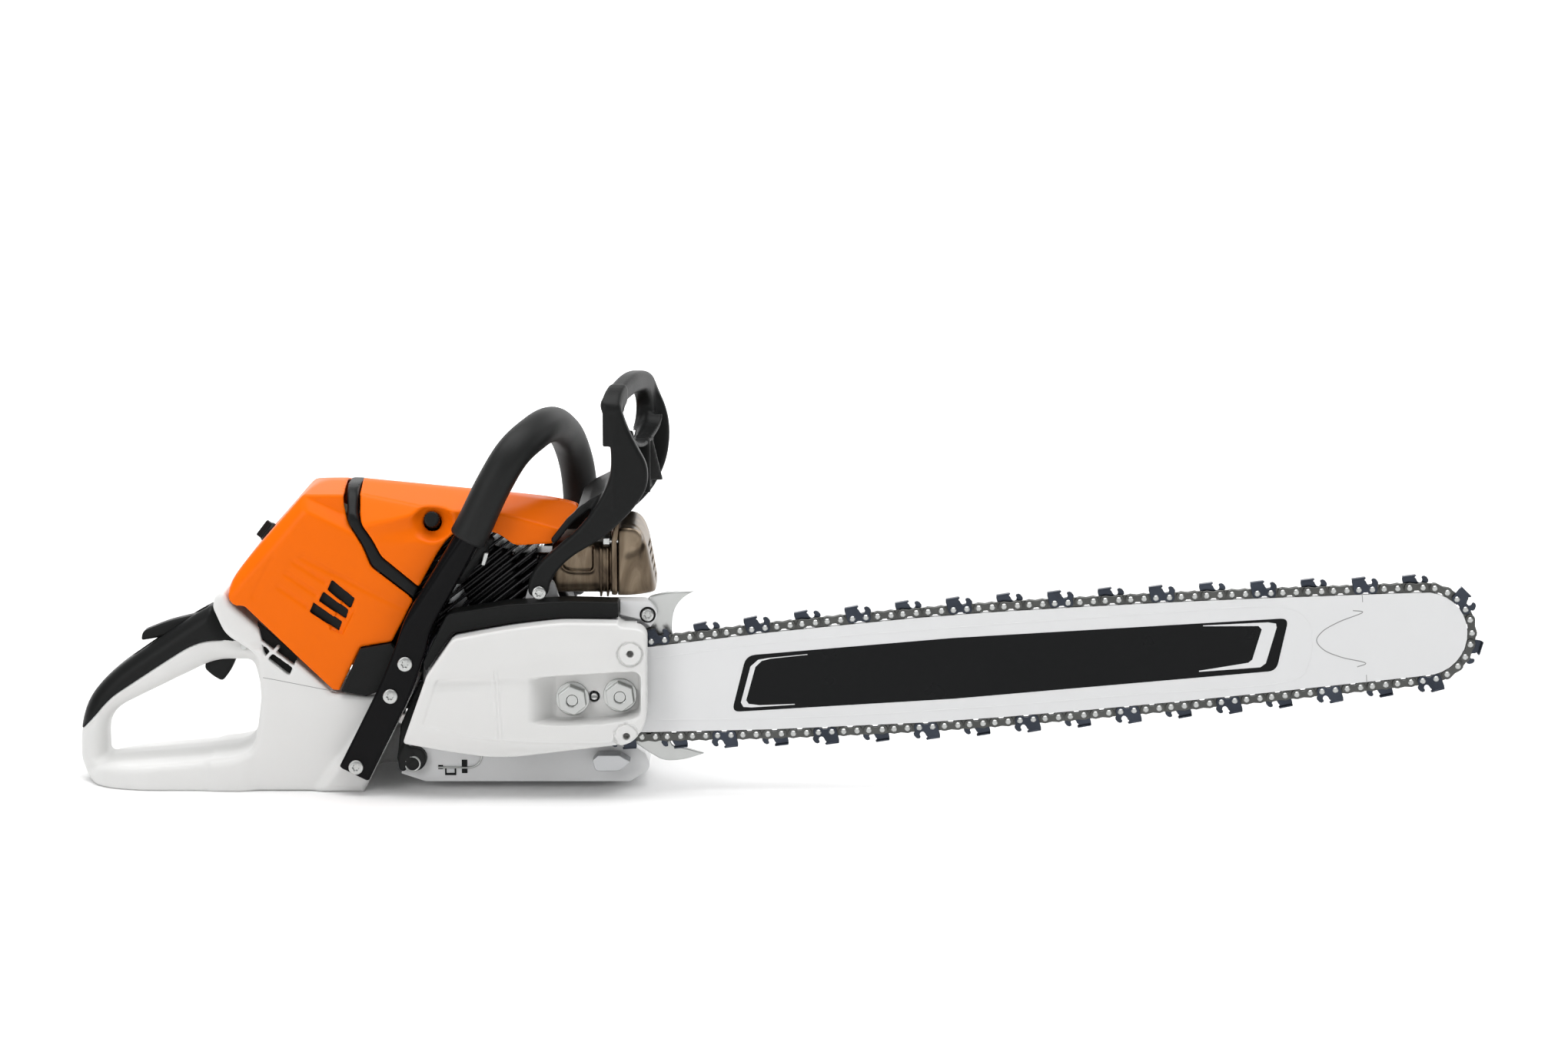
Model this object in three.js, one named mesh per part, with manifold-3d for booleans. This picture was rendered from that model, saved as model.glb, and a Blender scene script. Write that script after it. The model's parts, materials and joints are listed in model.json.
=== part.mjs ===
// A petrol chainsaw: handle unit, engine unit, guide bar and chain.
// Millimetres. +X points along the guide bar, +Y to the saw's left (starter) side, +Z up.
// X = 0 is the crankshaft axis, Y = 0 the middle of the rear handle, Z = 0 the ground it stands on.
import * as THREE from 'three';
import { mergeVertices } from 'three/addons/utils/BufferGeometryUtils.js';
import Module from 'manifold-3d';

const wasm = await Module();
wasm.setup();

// ---- driving dimensions ----
const GAP = 0.3;                 // clearance between parts that touch
const CRANK_Z = 68;              // height of the crankshaft axis
const BAR_Y = -48;               // middle plane of the guide bar
const BAR_TILT = 4.18;           // degrees the bar rises towards its nose
const BAR_THICKNESS = 4.8;
const BAR_NOSE_RADIUS = 31;
const BAR_NOSE_U = 689;          // nose centre, measured along the bar from the crankshaft axis
const BAR_TAIL_U = 44;
const GROOVE_DEPTH = 8;
const GROOVE_WIDTH = 2;
const STUD_U = [62.2, 97.2];     // the two bar studs, along the bar
const CHAIN_STRAP_HEIGHT = 6.4;
const CHAIN_WIDTH = 4.8;
const CHAIN_TANG_DEPTH = 5;
const DRIVE_LINKS = 84;
const CUTTER_HEIGHT = 6.2;
const CUTTER_LENGTH = 17;
const RIM_RADIUS = 19.4;         // drive rim that the chain runs on
const DRUM_RADIUS = 30;
const CYLINDER_TILT = 20;        // degrees the cylinder leans back
const BORE_RADIUS = 26;
const CRANK_THROW = 18;
const ROD_LENGTH = 62;
const FIN_SLOPE = 38;            // degrees the cooling fins rise towards the muffler
const TANK_RIGHT = -50;          // right and left walls of the fuel tank
const TANK_LEFT = 48;
const GRIP_HALF_WIDTH = 17;
const SHELL = 3;                 // wall thickness of the plastic covers
const HANDLE_RADIUS = 9.5;       // core of the front handle tube
const SLEEVE_RADIUS = 13;
const CASE_RIGHT = -42;          // crankcase face that the bar is clamped against
const CASE_LEFT = 30;
const VANE_COUNT = 10;
const FIN_PITCH = 9.4;
const FIN_RIGHT = -33.5;         // the fins reach from here to FIN_LEFT
const FIN_LEFT = 29.5;
const MUFFLER_BOLTS = [[-33, 185], [43, 185]];  // [y, z] of the holes in its flange
const NOSE_TEETH = 11;
const FIRST_CUTTER = 82;         // path distance from the rail's start to the first cutter
const GUARD_PIVOT = [38, 150.5]; // axis that the hand guard swings about
const GUARD_LEAN = 0.2;          // how far the guard's hoop comes forwards for each mm to the left

const AXIS_X = new THREE.Vector3(1, 0, 0);
const AXIS_Y = new THREE.Vector3(0, 1, 0);
const AXIS_Z = new THREE.Vector3(0, 0, 1);

const saw = new THREE.Group();
const degrees = (angle) => THREE.MathUtils.degToRad(angle);

// ---- solids ----
function solid(geometry) {
  geometry.deleteAttribute('normal');
  geometry.deleteAttribute('uv');
  const merged = mergeVertices(geometry, 1e-4);
  return new wasm.Manifold(new wasm.Mesh({
    numProp: 3,
    vertProperties: Float32Array.from(merged.attributes.position.array),
    triVerts: Uint32Array.from(merged.index.array),
  }));
}

function toGeometry(body) {
  const mesh = body.getMesh();
  const geometry = new THREE.BufferGeometry();
  geometry.setAttribute('position', new THREE.BufferAttribute(mesh.vertProperties, 3));
  geometry.setIndex(new THREE.BufferAttribute(mesh.triVerts, 1));
  geometry.computeVertexNormals();
  return geometry;
}

function join(first, ...others) {
  return others.reduce((sum, next) => sum.add(next), first);
}

function cut(first, ...tools) {
  return tools.reduce((rest, tool) => rest.subtract(tool), first);
}

// Closed outline through [a, b, cornerRadius] points; corners without a radius stay sharp.
function outline(points) {
  const shape = new THREE.Shape();
  const count = points.length;
  for (let i = 0; i < count; i += 1) {
    const here = new THREE.Vector2(points[i][0], points[i][1]);
    const before = new THREE.Vector2(...points[(i + count - 1) % count].slice(0, 2));
    const after = new THREE.Vector2(...points[(i + 1) % count].slice(0, 2));
    const radius = points[i][2] ?? 0;
    const inward = Math.min(radius, here.distanceTo(before) * 0.49);
    const outward = Math.min(radius, here.distanceTo(after) * 0.49);
    const start = here.clone().lerp(before, inward / here.distanceTo(before));
    const end = here.clone().lerp(after, outward / here.distanceTo(after));
    if (i === 0) shape.moveTo(start.x, start.y);
    else shape.lineTo(start.x, start.y);
    if (radius > 0) shape.quadraticCurveTo(here.x, here.y, end.x, end.y);
  }
  shape.closePath();
  return shape;
}

function extruded(points, depth, curveSegments, xDirection, yDirection, zDirection, offset) {
  const geometry = new THREE.ExtrudeGeometry(outline(points), {
    depth,
    bevelEnabled: false,
    curveSegments,
  });
  geometry.applyMatrix4(new THREE.Matrix4().makeBasis(xDirection, yDirection, zDirection));
  geometry.translate(offset.x, offset.y, offset.z);
  return solid(geometry);
}

// Prism of a side-view outline, points as [x, z, radius], between two y values.
function across(points, y0, y1, curveSegments = 4) {
  const place = new THREE.Vector3(0, y1, 0);
  return extruded(points, y1 - y0, curveSegments, AXIS_X, AXIS_Z, AXIS_Y.clone().negate(), place);
}

// Prism of a front-view outline, points as [y, z, radius], between two x values.
function lengthwise(points, x0, x1, curveSegments = 4) {
  return extruded(points, x1 - x0, curveSegments, AXIS_Y, AXIS_Z, AXIS_X, new THREE.Vector3(x0, 0, 0));
}

function box(x0, x1, y0, y1, z0, z1) {
  const geometry = new THREE.BoxGeometry(x1 - x0, y1 - y0, z1 - z0);
  geometry.translate((x0 + x1) / 2, (y0 + y1) / 2, (z0 + z1) / 2);
  return solid(geometry);
}

// Round bar between two points.
function rod(from, to, radius, sides = 16, endRadius = radius) {
  const a = new THREE.Vector3(...from);
  const b = new THREE.Vector3(...to);
  const direction = b.clone().sub(a);
  const geometry = new THREE.CylinderGeometry(endRadius, radius, direction.length(), sides);
  const turn = new THREE.Quaternion().setFromUnitVectors(AXIS_Y, direction.normalize());
  geometry.applyQuaternion(turn);
  const middle = a.add(b).multiplyScalar(0.5);
  geometry.translate(middle.x, middle.y, middle.z);
  return solid(geometry);
}

function disc(x, z, radius, y0, y1, sides = 20) {
  return rod([x, y0, z], [x, y1, z], radius, sides);
}

// Body of revolution about the Y direction, profile as [radius, y] points that close on themselves.
function turned(profile, x, z, sides = 32) {
  const ring = profile.map(([r, y]) => new THREE.Vector2(r, y));
  if (THREE.ShapeUtils.isClockWise(ring)) ring.reverse();
  const closed = [...ring, ring[0].clone()];
  const geometry = new THREE.LatheGeometry(closed, sides);
  geometry.translate(x, 0, z);
  return solid(geometry);
}

// Round tube along a curve.
function tube(curve, radius, steps, sides = 10) {
  const section = new THREE.Shape();
  section.absarc(0, 0, radius, 0, Math.PI * 2, false);
  const geometry = new THREE.ExtrudeGeometry(section, {
    steps,
    curveSegments: sides / 2,
    extrudePath: curve,
  });
  return solid(geometry);
}

function tilted(body, angle, x = 0, z = CRANK_Z) {
  const turn = new THREE.Matrix4().makeRotationY(degrees(angle));
  const matrix = new THREE.Matrix4().makeTranslation(x, 0, z);
  matrix.multiply(turn).multiply(new THREE.Matrix4().makeTranslation(-x, 0, -z));
  return body.transform(matrix.elements);
}

// ---- materials and pieces ----
function finish(color, roughness, metalness = 0) {
  return new THREE.MeshStandardMaterial({ color, roughness, metalness });
}

const ORANGE = [0xf57c0a, 0.3];
const WHITE = [0xe9e9e6, 0.4];
const BLACK = [0x232424, 0.5];
const GLOSS_BLACK = [0x101010, 0.15];
const RUBBER = [0x1d1d1d, 0.85];
const STEEL = [0xa8aaa8, 0.35, 1];
const DARK_STEEL = [0x4d5158, 0.45, 1];
const ALUMINIUM = [0xc9cacb, 0.45, 1];
const BRONZE = [0x7a6650, 0.4, 1];
const FOAM = [0xd9d2b8, 0.95];

function piece(name, body, look) {
  const mesh = new THREE.Mesh(toGeometry(body), finish(...look));
  mesh.name = name;
  saw.add(mesh);
  return mesh;
}

// ---- handle unit ----
const GRIP_TOP = [
  [-208, 132], [-221, 125], [-261, 100, 20], [-294, 73, 20], [-308, 50, 14], [-308.5, 36],
];
const GRIP_LINE = [[-300, 46], [-285, 63], [-250, 86], [-221, 105, 8], [-205, 109, 8], [-186, 104]];
const WINDOW = [
  [-288, 22, 5], [-287.5, 44, 8], [-280, 55, 8], [-226, 82, 8], [-206, 90, 6],
  [-179, 91, 8], [-173, 73], [-170, 52, 8], [-176, 34, 10], [-190, 27, 6],
];

function tankHousing() {
  const block = across([
    [-205, 0], [-93, 0], [-91, 4], [-55, 76], [-90, 71], [-115, 74], [-191, 141], [-194, 149],
    [-201, 146], [-203, 138], [-194, 116], [-173, 104], [-170, 98], [-168, 70], [-174, 30, 8],
    [-186, 22], [-205, 20],
  ], TANK_RIGHT, TANK_LEFT);
  const loop = across([
    [-186, 18], [-190, 0], [-296, 0, 10], [-306, 6, 10], [-308.5, 22], [-308.5, 36 - GAP],
    [-300, 46 - GAP], [-285, 63 - GAP], [-250, 86 - GAP], [-221, 105 - GAP, 8],
    [-205, 109 - GAP, 8], [-186, 104], [-160, 100], [-160, 18],
  ], -GRIP_HALF_WIDTH, GRIP_HALF_WIDTH);
  const foot = across([[-190, 0], [-296, 0, 8], [-300, 8, 6], [-288, 15], [-186, 24]], -49, 46);
  const ledge = across([
    [-111, 0], [-93, 0], [-91, 4], [-55, 76], [-76, 72], [-112, 20],
  ], TANK_RIGHT - 3.7, TANK_RIGHT + 2);
  const arm = box(-110, -72, TANK_LEFT - 2, 106, 2, 30);
  const starterRoom = disc(0, CRANK_Z, 73, CASE_LEFT - 3, 110, 32);
  const window = across(WINDOW, -60, 60);
  const triggerSlot = box(-219, -178, -6.5, 6.5, 72, 111);
  const lockoutSlot = across([[-268, 112], [-268, 80], [-212, 104], [-212, 126]], -6.5, 6.5);
  const filler = disc(-125, 40, 18, TANK_LEFT - 24, TANK_LEFT + 1);
  const neckHollow = across([
    [-194, 132], [-190, 116], [-165, 98], [-150, 92], [-180, 126],
  ], -38, 38);
  const pinHole = disc(-184, 103, 3.1, -20, 20, 12);
  const switchSlot = box(-196, -177, TANK_LEFT - 4, TANK_LEFT + 2, 117.4, 126.6);
  return cut(join(block, loop, foot, ledge, arm), window, triggerSlot, lockoutSlot, filler,
    neckHollow, pinHole, starterRoom, switchSlot);
}

function gripOverlay() {
  const half = GRIP_HALF_WIDTH + 1;
  const body = across([...GRIP_TOP, ...GRIP_LINE, [-200, 118]], -half, half);
  const triggerSlot = box(-219, -178, -6.5, 6.5, 72, 112);
  const lockoutSlot = across([[-268, 116], [-268, 76], [-212, 104], [-212, 134]], -6.5, 6.5);
  const pinHole = disc(-184, 103, 4, -20, 20, 12);
  return cut(body, triggerSlot, lockoutSlot, pinHole);
}

function lockoutLever() {
  return across([
    [-218, 125.5], [-241, 120, 6], [-261, 112, 3], [-262, 106], [-244, 110], [-220, 117], [-214, 121],
  ], -6, 6);
}

function throttleTrigger() {
  const blade = across([
    [-189, 98.5, 3], [-179.5, 98.5, 3], [-179.5, 107.5, 3], [-188.5, 107.5, 3], [-198, 100], [-213, 92],
    [-215.5, 84, 2], [-209, 78], [-202, 74, 2], [-196, 82, 4],
  ], -6, 6);
  return cut(blade, disc(-184, 103, 2.8, -8, 8, 12));
}

function handleStrip() {
  return across([
    [-108, 24, 4], [-90, 12.5, 4], [-54, 84], [-44, 112], [-33, 138], [-53, 146], [-64, 113], [-78, 82],
  ], -66, -54);
}

const HANDLE_PATH = new THREE.CatmullRomCurve3([
  [-50, -60, 128], [-30, -60, 163], [-11, -60, 196], [5, -58, 229], [19, -50, 252], [34, -24, 264],
  [43, 12, 265], [49, 50, 257], [54, 76, 244], [59, 93, 221], [61, 98, 192], [58, 98, 160],
  [48, 98, 122], [26, 98, 86], [-8, 98, 58], [-46, 97.5, 44], [-86, 95, 42],
].map((point) => new THREE.Vector3(...point)), false, 'centripetal');
const HANDLE_STEPS = 44;
const SLEEVE_START = 0.128;
const SLEEVE_END = 0.7;

function handleSleeve() {
  const points = [];
  const steps = 26;
  for (let i = 0; i <= steps; i += 1) {
    points.push(HANDLE_PATH.getPointAt(SLEEVE_START + (SLEEVE_END - SLEEVE_START) * (i / steps)));
  }
  const outer = tube(new THREE.CatmullRomCurve3(points), SLEEVE_RADIUS, steps);
  return cut(outer, tube(HANDLE_PATH, HANDLE_RADIUS + GAP, HANDLE_STEPS));
}

function frontHandle() {
  const foot = box(-108, -74, 84, 106, 30 + GAP, 44);
  return join(tube(HANDLE_PATH, HANDLE_RADIUS, HANDLE_STEPS), handleStrip(), foot);
}

function handleUnit() {
  const screws = [[-97, 22], [-71, 75], [-60, 99]];
  const holes = screws.map(([x, z]) => disc(x, z, 3.3, -70, -40, 12));
  piece('tank_housing', cut(tankHousing(), ...holes.slice(0, 2)), WHITE);
  piece('grip_overlay', gripOverlay(), BLACK);
  piece('throttle_lockout', lockoutLever(), BLACK);
  piece('throttle_trigger', throttleTrigger(), BLACK);
  piece('trigger_pin', disc(-184, 103, 2.6, -18.5, 18.5, 12), STEEL);
  piece('front_handle', cut(frontHandle(), ...holes), GLOSS_BLACK);
  piece('handle_sleeve', handleSleeve(), RUBBER);
  screws.forEach(([x, z], i) => {
    const shank = disc(x, z, 2.7, -66.5, -45, 12);
    piece(`handle_screw_${i + 1}`, join(shank, disc(x, z, 5.4, -69, -66 - GAP, 16)), STEEL);
  });
}

// ---- plastic covers ----
// Front-view section that rounds the shoulders of the covers.
function coverSection(inset, x0, x1) {
  const half = 52 - inset;
  return lengthwise([
    [-half, 40], [half, 40], [half, 150], [half - 3, 186, 20], [half - 20, 226 - inset, 26],
    [0, 234 - inset, 60], [-half + 20, 226 - inset, 26], [-half + 3, 186, 20], [-half, 150],
  ], x0, x1);
}

const SEAM = [[-105, 212], [-102, 201], [-91, 183], [-85, 168], [-58, 147]];

function filterCover() {
  const outer = across([
    [-106, 226], [-121, 227, 8], [-133, 223, 10], [-177, 173, 12], [-190, 155, 8], [-191, 144, 4],
    [-186, 139], [-179, 139], [-115, 76 + GAP], [-110, 76], [-94, 108], [-71, 112], [-55, 143],
    ...SEAM.slice().reverse(),
  ], -60, 60).intersect(coverSection(0, -200, -50));
  const inner = across([
    [-90, 223], [-121, 224, 8], [-131, 220, 10], [-174.5, 171, 12], [-187, 154, 8], [-188, 144],
    [-192, 130], [-115, 60], [-92, 60], [-60, 100], [-38, 143], [-45, 150], [-75, 172], [-85, 190],
  ], -60, 60).intersect(coverSection(SHELL, -210, -40));
  const slots = [0, 1, 2].map((i) => across([
    [-118 - 7 * i, 155 - 8.5 * i], [-115 - 7 * i, 159.5 - 8.5 * i],
    [-98 - 6 * i, 145 - 9.5 * i], [-101 - 6 * i, 140 - 9.5 * i],
  ], -60, -40));
  const lockHole = rod([-180, 0, 197], [-150, 0, 174], 9, 16);
  return cut(outer, inner, lockHole, ...slots);
}

function filterCoverLock() {
  const axis = new THREE.Vector3(-0.795, 0, 0.606);
  const centre = new THREE.Vector3(-166, 0, 186);
  const at = (distance) => centre.clone().addScaledVector(axis, distance).toArray();
  const wing = box(-7, 7, -2.5, 2.5, 1, 6.5);
  const turn = new THREE.Matrix4().makeBasis(
    new THREE.Vector3(0.606, 0, 0.795), AXIS_Y, axis,
  ).setPosition(centre);
  return join(rod(at(-14), at(2), 8, 16), wing.transform(turn.elements));
}

function coverFrame() {
  const gap = across([
    [-104.5, 225], [-95.5, 225], [-95.5, 209], [-93.3, 200], [-84.4, 187.5], [-78.4, 175.5],
    [-51, 152], [-55, 145], [-57.8, 147.4], [-84.6, 168.4], [-90.6, 183.3], [-101.6, 201.2],
  ], -60, 60);
  return gap.intersect(coverSection(1.5, -120, -40)).subtract(coverSection(13, -130, -30));
}

function engineShroud() {
  const outer = across([
    [-95, 227], [-52, 223, 40], [17, 215, 20], [60, 209, 8], [66, 205, 6], [46, 183.5, 3], [19, 183],
    [5, 193, 6], [-23, 194, 4], [-34, 183, 8], [-50, 153], [-78, 176], [-84, 188], [-93, 201], [-95, 209],
  ], -60, 60).intersect(coverSection(0, -100, 80));
  const inner = across([
    [-110, 224], [-52, 220, 40], [17, 212, 20], [60, 206, 8], [63, 202], [48, 170], [-52, 140],
    [-98, 180], [-110, 200],
  ], -60, 60).intersect(coverSection(SHELL, -120, 90));
  const valveRecess = rod([-40, -58, 208], [-41, -30, 199], 9, 16);
  return cut(outer, inner, valveRecess);
}

function sideTrim() {
  return across([
    [-94, 108 - GAP], [-71.5, 111.5], [-66, 104], [-78, 77], [-90, 72.4], [-108.5, 76],
  ], -53.6, -44);
}

function covers() {
  piece('filter_cover', filterCover(), ORANGE);
  piece('filter_cover_lock', filterCoverLock(), BLACK);
  piece('cover_frame', coverFrame(), BLACK);
  piece('engine_shroud', engineShroud(), ORANGE);
  piece('side_trim', sideTrim(), BLACK);
  const filter = across([[-160, 165, 8], [-120, 205, 8], [-108, 200], [-108, 120], [-125, 108]], -36, 36);
  piece('air_filter', filter, FOAM);
}

// ---- engine ----
const towardsHead = (distance, side = 0) => {
  const angle = degrees(CYLINDER_TILT);
  return [
    -distance * Math.sin(angle) + side * Math.cos(angle),
    0,
    CRANK_Z + distance * Math.cos(angle) + side * Math.sin(angle),
  ];
};

function crankcaseOutline(top) {
  return [
    [-66, 12], [-48, 6], [103, 6], [116, 14, 3], [118, 19, 3], [114, 27], [104, 34], [104, top],
    [-30, top], [-46, 90], [-58, 60],
  ];
}

function crankcaseCavity() {
  return join(
    disc(0, CRANK_Z, 35, -15, 15, 32),
    disc(0, CRANK_Z, 8 + GAP, -60, 60, 24),
    rod(towardsHead(10), towardsHead(90), 30, 32),
  );
}

function crankcaseRight() {
  const body = across(crankcaseOutline(118), CASE_RIGHT, -GAP / 2);
  const wall = across([
    [-46, 90], [104, 90], [104, 117], [118, 121, 6], [125.5, 133, 7], [118, 143, 5], [96, 143],
    [52, 142], [47, 158, 6], [31, 158, 6], [26, 140], [-30, 133],
  ], CASE_RIGHT, CASE_RIGHT + 8);
  const ear = across([
    [97, 133], [112.5, 129.5], [119, 124], [125.5, 133, 7], [118, 143, 5], [97, 143],
  ], CASE_RIGHT - 10, CASE_RIGHT + 1);
  const studHoles = STUD_U.map((u) => {
    const [x, z] = barPoint(u, 0);
    return disc(x, z, 4 + GAP, CASE_RIGHT - 2, -20, 16);
  });
  const antiVibrationHole = disc(-56, 24, 9.3, CASE_RIGHT - 2, -20, 20);
  const earHole = disc(117, 133, 3.3, -60, -30, 12);
  const tensionerHole = disc(...TENSIONER, 3.2, -60, -30, 12);
  const pivotHole = disc(...GUARD_PIVOT, 2.8, -60, -30, 12);
  const oilPocket = disc(0, CRANK_Z, 20, CASE_RIGHT - 1, CASE_RIGHT + 10, 24);
  return cut(join(body, wall, ear), crankcaseCavity(), oilPocket, ...studHoles, antiVibrationHole,
    earHole, pivotHole, tensionerHole);
}

function crankcaseLeft() {
  const body = across(crankcaseOutline(118), GAP / 2, CASE_LEFT);
  const runner = join(
    across([[-44, 0], [98, 0], [104, 8], [-50, 8]], 8, CASE_LEFT),
    across([[-44, 0], [98, 0], [101, 6 - GAP], [-47, 6 - GAP]], -8, 10),
  );
  const oilFiller = disc(86, 50, 14, CASE_LEFT - 16, CASE_LEFT + 1);
  return cut(join(body, runner), crankcaseCavity(), oilFiller);
}

function crankshaft() {
  const pinStart = towardsHead(CRANK_THROW);
  const pin = rod([pinStart[0], -7, pinStart[2]], [pinStart[0], 7, pinStart[2]], 7, 16);
  const shaft = disc(0, CRANK_Z, 8, -77, -7, 20);
  const farShaft = disc(0, CRANK_Z, 8, 7, 66, 20);
  const webs = [disc(0, CRANK_Z, 32, -14, -6, 32), disc(0, CRANK_Z, 32, 6, 14, 32)];
  return join(shaft, farShaft, pin, ...webs);
}

function connectingRod() {
  const big = towardsHead(CRANK_THROW);
  const small = towardsHead(CRANK_THROW + ROD_LENGTH);
  const shankFoot = CRANK_Z + CRANK_THROW + 8;
  const shank = tilted(box(-5, 5, -4, 4, shankFoot, shankFoot + ROD_LENGTH - 14), -CYLINDER_TILT);
  const ends = join(disc(big[0], big[2], 12, -5, 5, 20), disc(small[0], small[2], 9, -5, 5, 16));
  return cut(join(ends, shank), disc(big[0], big[2], 7 + GAP, -8, 8, 16),
    disc(small[0], small[2], 5 + GAP, -8, 8, 16));
}

function piston() {
  const pinAt = towardsHead(CRANK_THROW + ROD_LENGTH);
  const skirt = rod(towardsHead(64), towardsHead(108), BORE_RADIUS - GAP, 32);
  const hollow = rod(towardsHead(60), towardsHead(101), BORE_RADIUS - 4, 24);
  const pin = disc(pinAt[0], pinAt[2], 5, -23, 23, 16);
  return join(cut(skirt, hollow), pin);
}

function cylinder() {
  const barrel = rod(towardsHead(52), towardsHead(124), 29.4, 32);
  const bore = rod(towardsHead(50), towardsHead(114), BORE_RADIUS, 32);
  const slope = degrees(FIN_SLOPE);
  const region = across([
    [-62, 121], [10, 121], [30, 144], [36, 150], [36, 184], [-8, 200], [-50, 202], [-70, 170],
  ], FIN_RIGHT, FIN_LEFT);
  const halfThickness = 1.3;
  const reach = 70;
  const along = [Math.cos(slope) * reach, Math.sin(slope) * reach];
  const thick = [-Math.sin(slope) * halfThickness, Math.cos(slope) * halfThickness];
  const fins = [];
  for (let i = -3; i <= 4; i += 1) {
    const middle = [-14 - Math.sin(slope) * FIN_PITCH * i, 158 + Math.cos(slope) * FIN_PITCH * i];
    fins.push(across([
      [middle[0] - along[0] - thick[0], middle[1] - along[1] - thick[1]],
      [middle[0] + along[0] - thick[0], middle[1] + along[1] - thick[1]],
      [middle[0] + along[0] + thick[0], middle[1] + along[1] + thick[1]],
      [middle[0] - along[0] + thick[0], middle[1] - along[1] + thick[1]],
    ], FIN_RIGHT - 2, FIN_LEFT + 2));
  }
  const stack = join(...fins).intersect(region);
  const exhaust = box(-20, 45.6, -17, 17, 149, 173);
  const intake = box(-62, -30, -15, 15, 126, 154);
  const exhaustPort = box(-25, 50, -12, 12, 154, 168);
  const intakePort = box(-80, -30, -10, 10, 133, 147);
  const core = across([[-52, 121], [6, 121], [22, 150], [16, 176], [-30, 190], [-62, 172]], -28, 28);
  const plugHole = join(
    rod(towardsHead(110), towardsHead(140), 5 + GAP, 12),
    rod(towardsHead(124.2), towardsHead(150), 11, 16),
  );
  const throttleRoom = box(-90, -62.2, -18, 18, 120, 160);
  const buttonHole = rod([-41, -60, 204], [-41.3, -25, 195.5], 7, 12);
  return cut(join(barrel, core, stack, exhaust, intake), bore, exhaustPort, intakePort, plugHole,
    throttleRoom, buttonHole);
}

function flywheel() {
  const wheel = turned([
    [8.3, 35], [18, 35], [20, 43], [57, 43], [62, 38], [62, 49], [20, 49], [14, 58], [8.3, 58],
  ], 0, CRANK_Z, 36);
  const vanes = [];
  for (let i = 0; i < VANE_COUNT; i += 1) {
    vanes.push(tilted(box(28, 58, 48, 60, CRANK_Z - 1.2, CRANK_Z + 1.2), (360 / VANE_COUNT) * i));
  }
  return join(wheel, ...vanes);
}

function sparkPlug() {
  return join(
    rod(towardsHead(111), towardsHead(124.4), 5, 12),
    rod(towardsHead(124.3), towardsHead(129), 8, 6),
    rod(towardsHead(128.8), towardsHead(138), 3.4, 12),
  );
}

function sparkPlugBoot() {
  const cap = rod(towardsHead(129.4), towardsHead(148), 9, 16);
  return cut(cap, rod(towardsHead(126), towardsHead(139), 3.8, 12));
}

function ignitionModule() {
  return across([[-20, 131.5], [20, 131.5], [20, 143], [-20, 143]], 36.4, 48);
}

function throttleBody() {
  const body = join(rod([-76, 0, 140], [-107, 0, 140], 16, 20), box(-98, -82, -24, 24, 127, 153));
  return cut(body, rod([-60, 0, 140], [-120, 0, 140], 10, 16));
}

function decompressionButton() {
  const knob = rod([-41, -37, 200], [-40.6, -46, 203], 6, 16);
  return join(knob, rod([-41.3, -27, 196.7], [-41, -38, 200.3], 2.5, 12));
}

function mufflerRear() {
  const outer = lengthwise([[-30, 145, 8], [40, 145, 8], [40, 182, 8], [-30, 182, 8]], 46, 90, 3);
  const flange = lengthwise([[-37, 144.5, 4], [47, 144.5, 4], [47, 191, 8], [-37, 191, 8]], 89, 91, 3);
  const hollow = lengthwise([[-28, 147, 8], [38, 147, 8], [38, 180, 8], [-28, 180, 8]], 48, 95, 3);
  const port = box(44, 50, -12, 12, 154, 168);
  const boltHoles = MUFFLER_BOLTS.map(([y, z]) => rod([80, y, z], [95, y, z], 2.8, 12));
  return cut(join(outer, flange), hollow, port, ...boltHoles);
}

function mufflerFront() {
  const outer = across([
    [91 + GAP, 144.5], [91 + GAP, 193, 3], [111, 193, 8], [117, 181, 8], [123, 144.5],
  ], -37, 47, 3);
  const hollow = across([
    [85, 146.5], [85, 191], [109, 191, 8], [115, 180, 6], [120.8, 146.5],
  ], -35, 45, 3);
  const outlet = rod([110, 38, 160], [130, 38, 160], 7, 16);
  const boltHoles = MUFFLER_BOLTS.map(([y, z]) => rod([90, y, z], [100, y, z], 2.8, 12));
  return cut(outer, hollow, outlet, ...boltHoles);
}

function mufflerBolt([y, z]) {
  return join(rod([84, y, z], [89 - GAP, y, z], 4.6, 6), rod([87, y, z], [98, y, z], 2.5, 12));
}

function intakeBoot() {
  return cut(rod([-62.3, 0, 140], [-75.7, 0, 140], 14), rod([-60, 0, 140], [-80, 0, 140], 9.5));
}

function engine() {
  piece('crankcase_right', crankcaseRight(), ALUMINIUM);
  piece('crankcase_left', crankcaseLeft(), ALUMINIUM);
  piece('crankshaft', crankshaft(), DARK_STEEL);
  piece('connecting_rod', connectingRod(), DARK_STEEL);
  piece('piston', piston(), ALUMINIUM);
  piece('cylinder', cylinder(), BLACK);
  piece('flywheel', flywheel(), ALUMINIUM);
  piece('spark_plug', sparkPlug(), STEEL);
  piece('spark_plug_boot', sparkPlugBoot(), RUBBER);
  piece('ignition_module', ignitionModule(), BLACK);
  piece('throttle_body', throttleBody(), ALUMINIUM);
  piece('decompression_button', decompressionButton(), BLACK);
  piece('muffler_rear', mufflerRear(), BRONZE);
  piece('muffler_front', mufflerFront(), BRONZE);
  piece('muffler_bolt', mufflerBolt(MUFFLER_BOLTS[0]), STEEL);
  piece('intake_boot', intakeBoot(), RUBBER);
}

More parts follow.
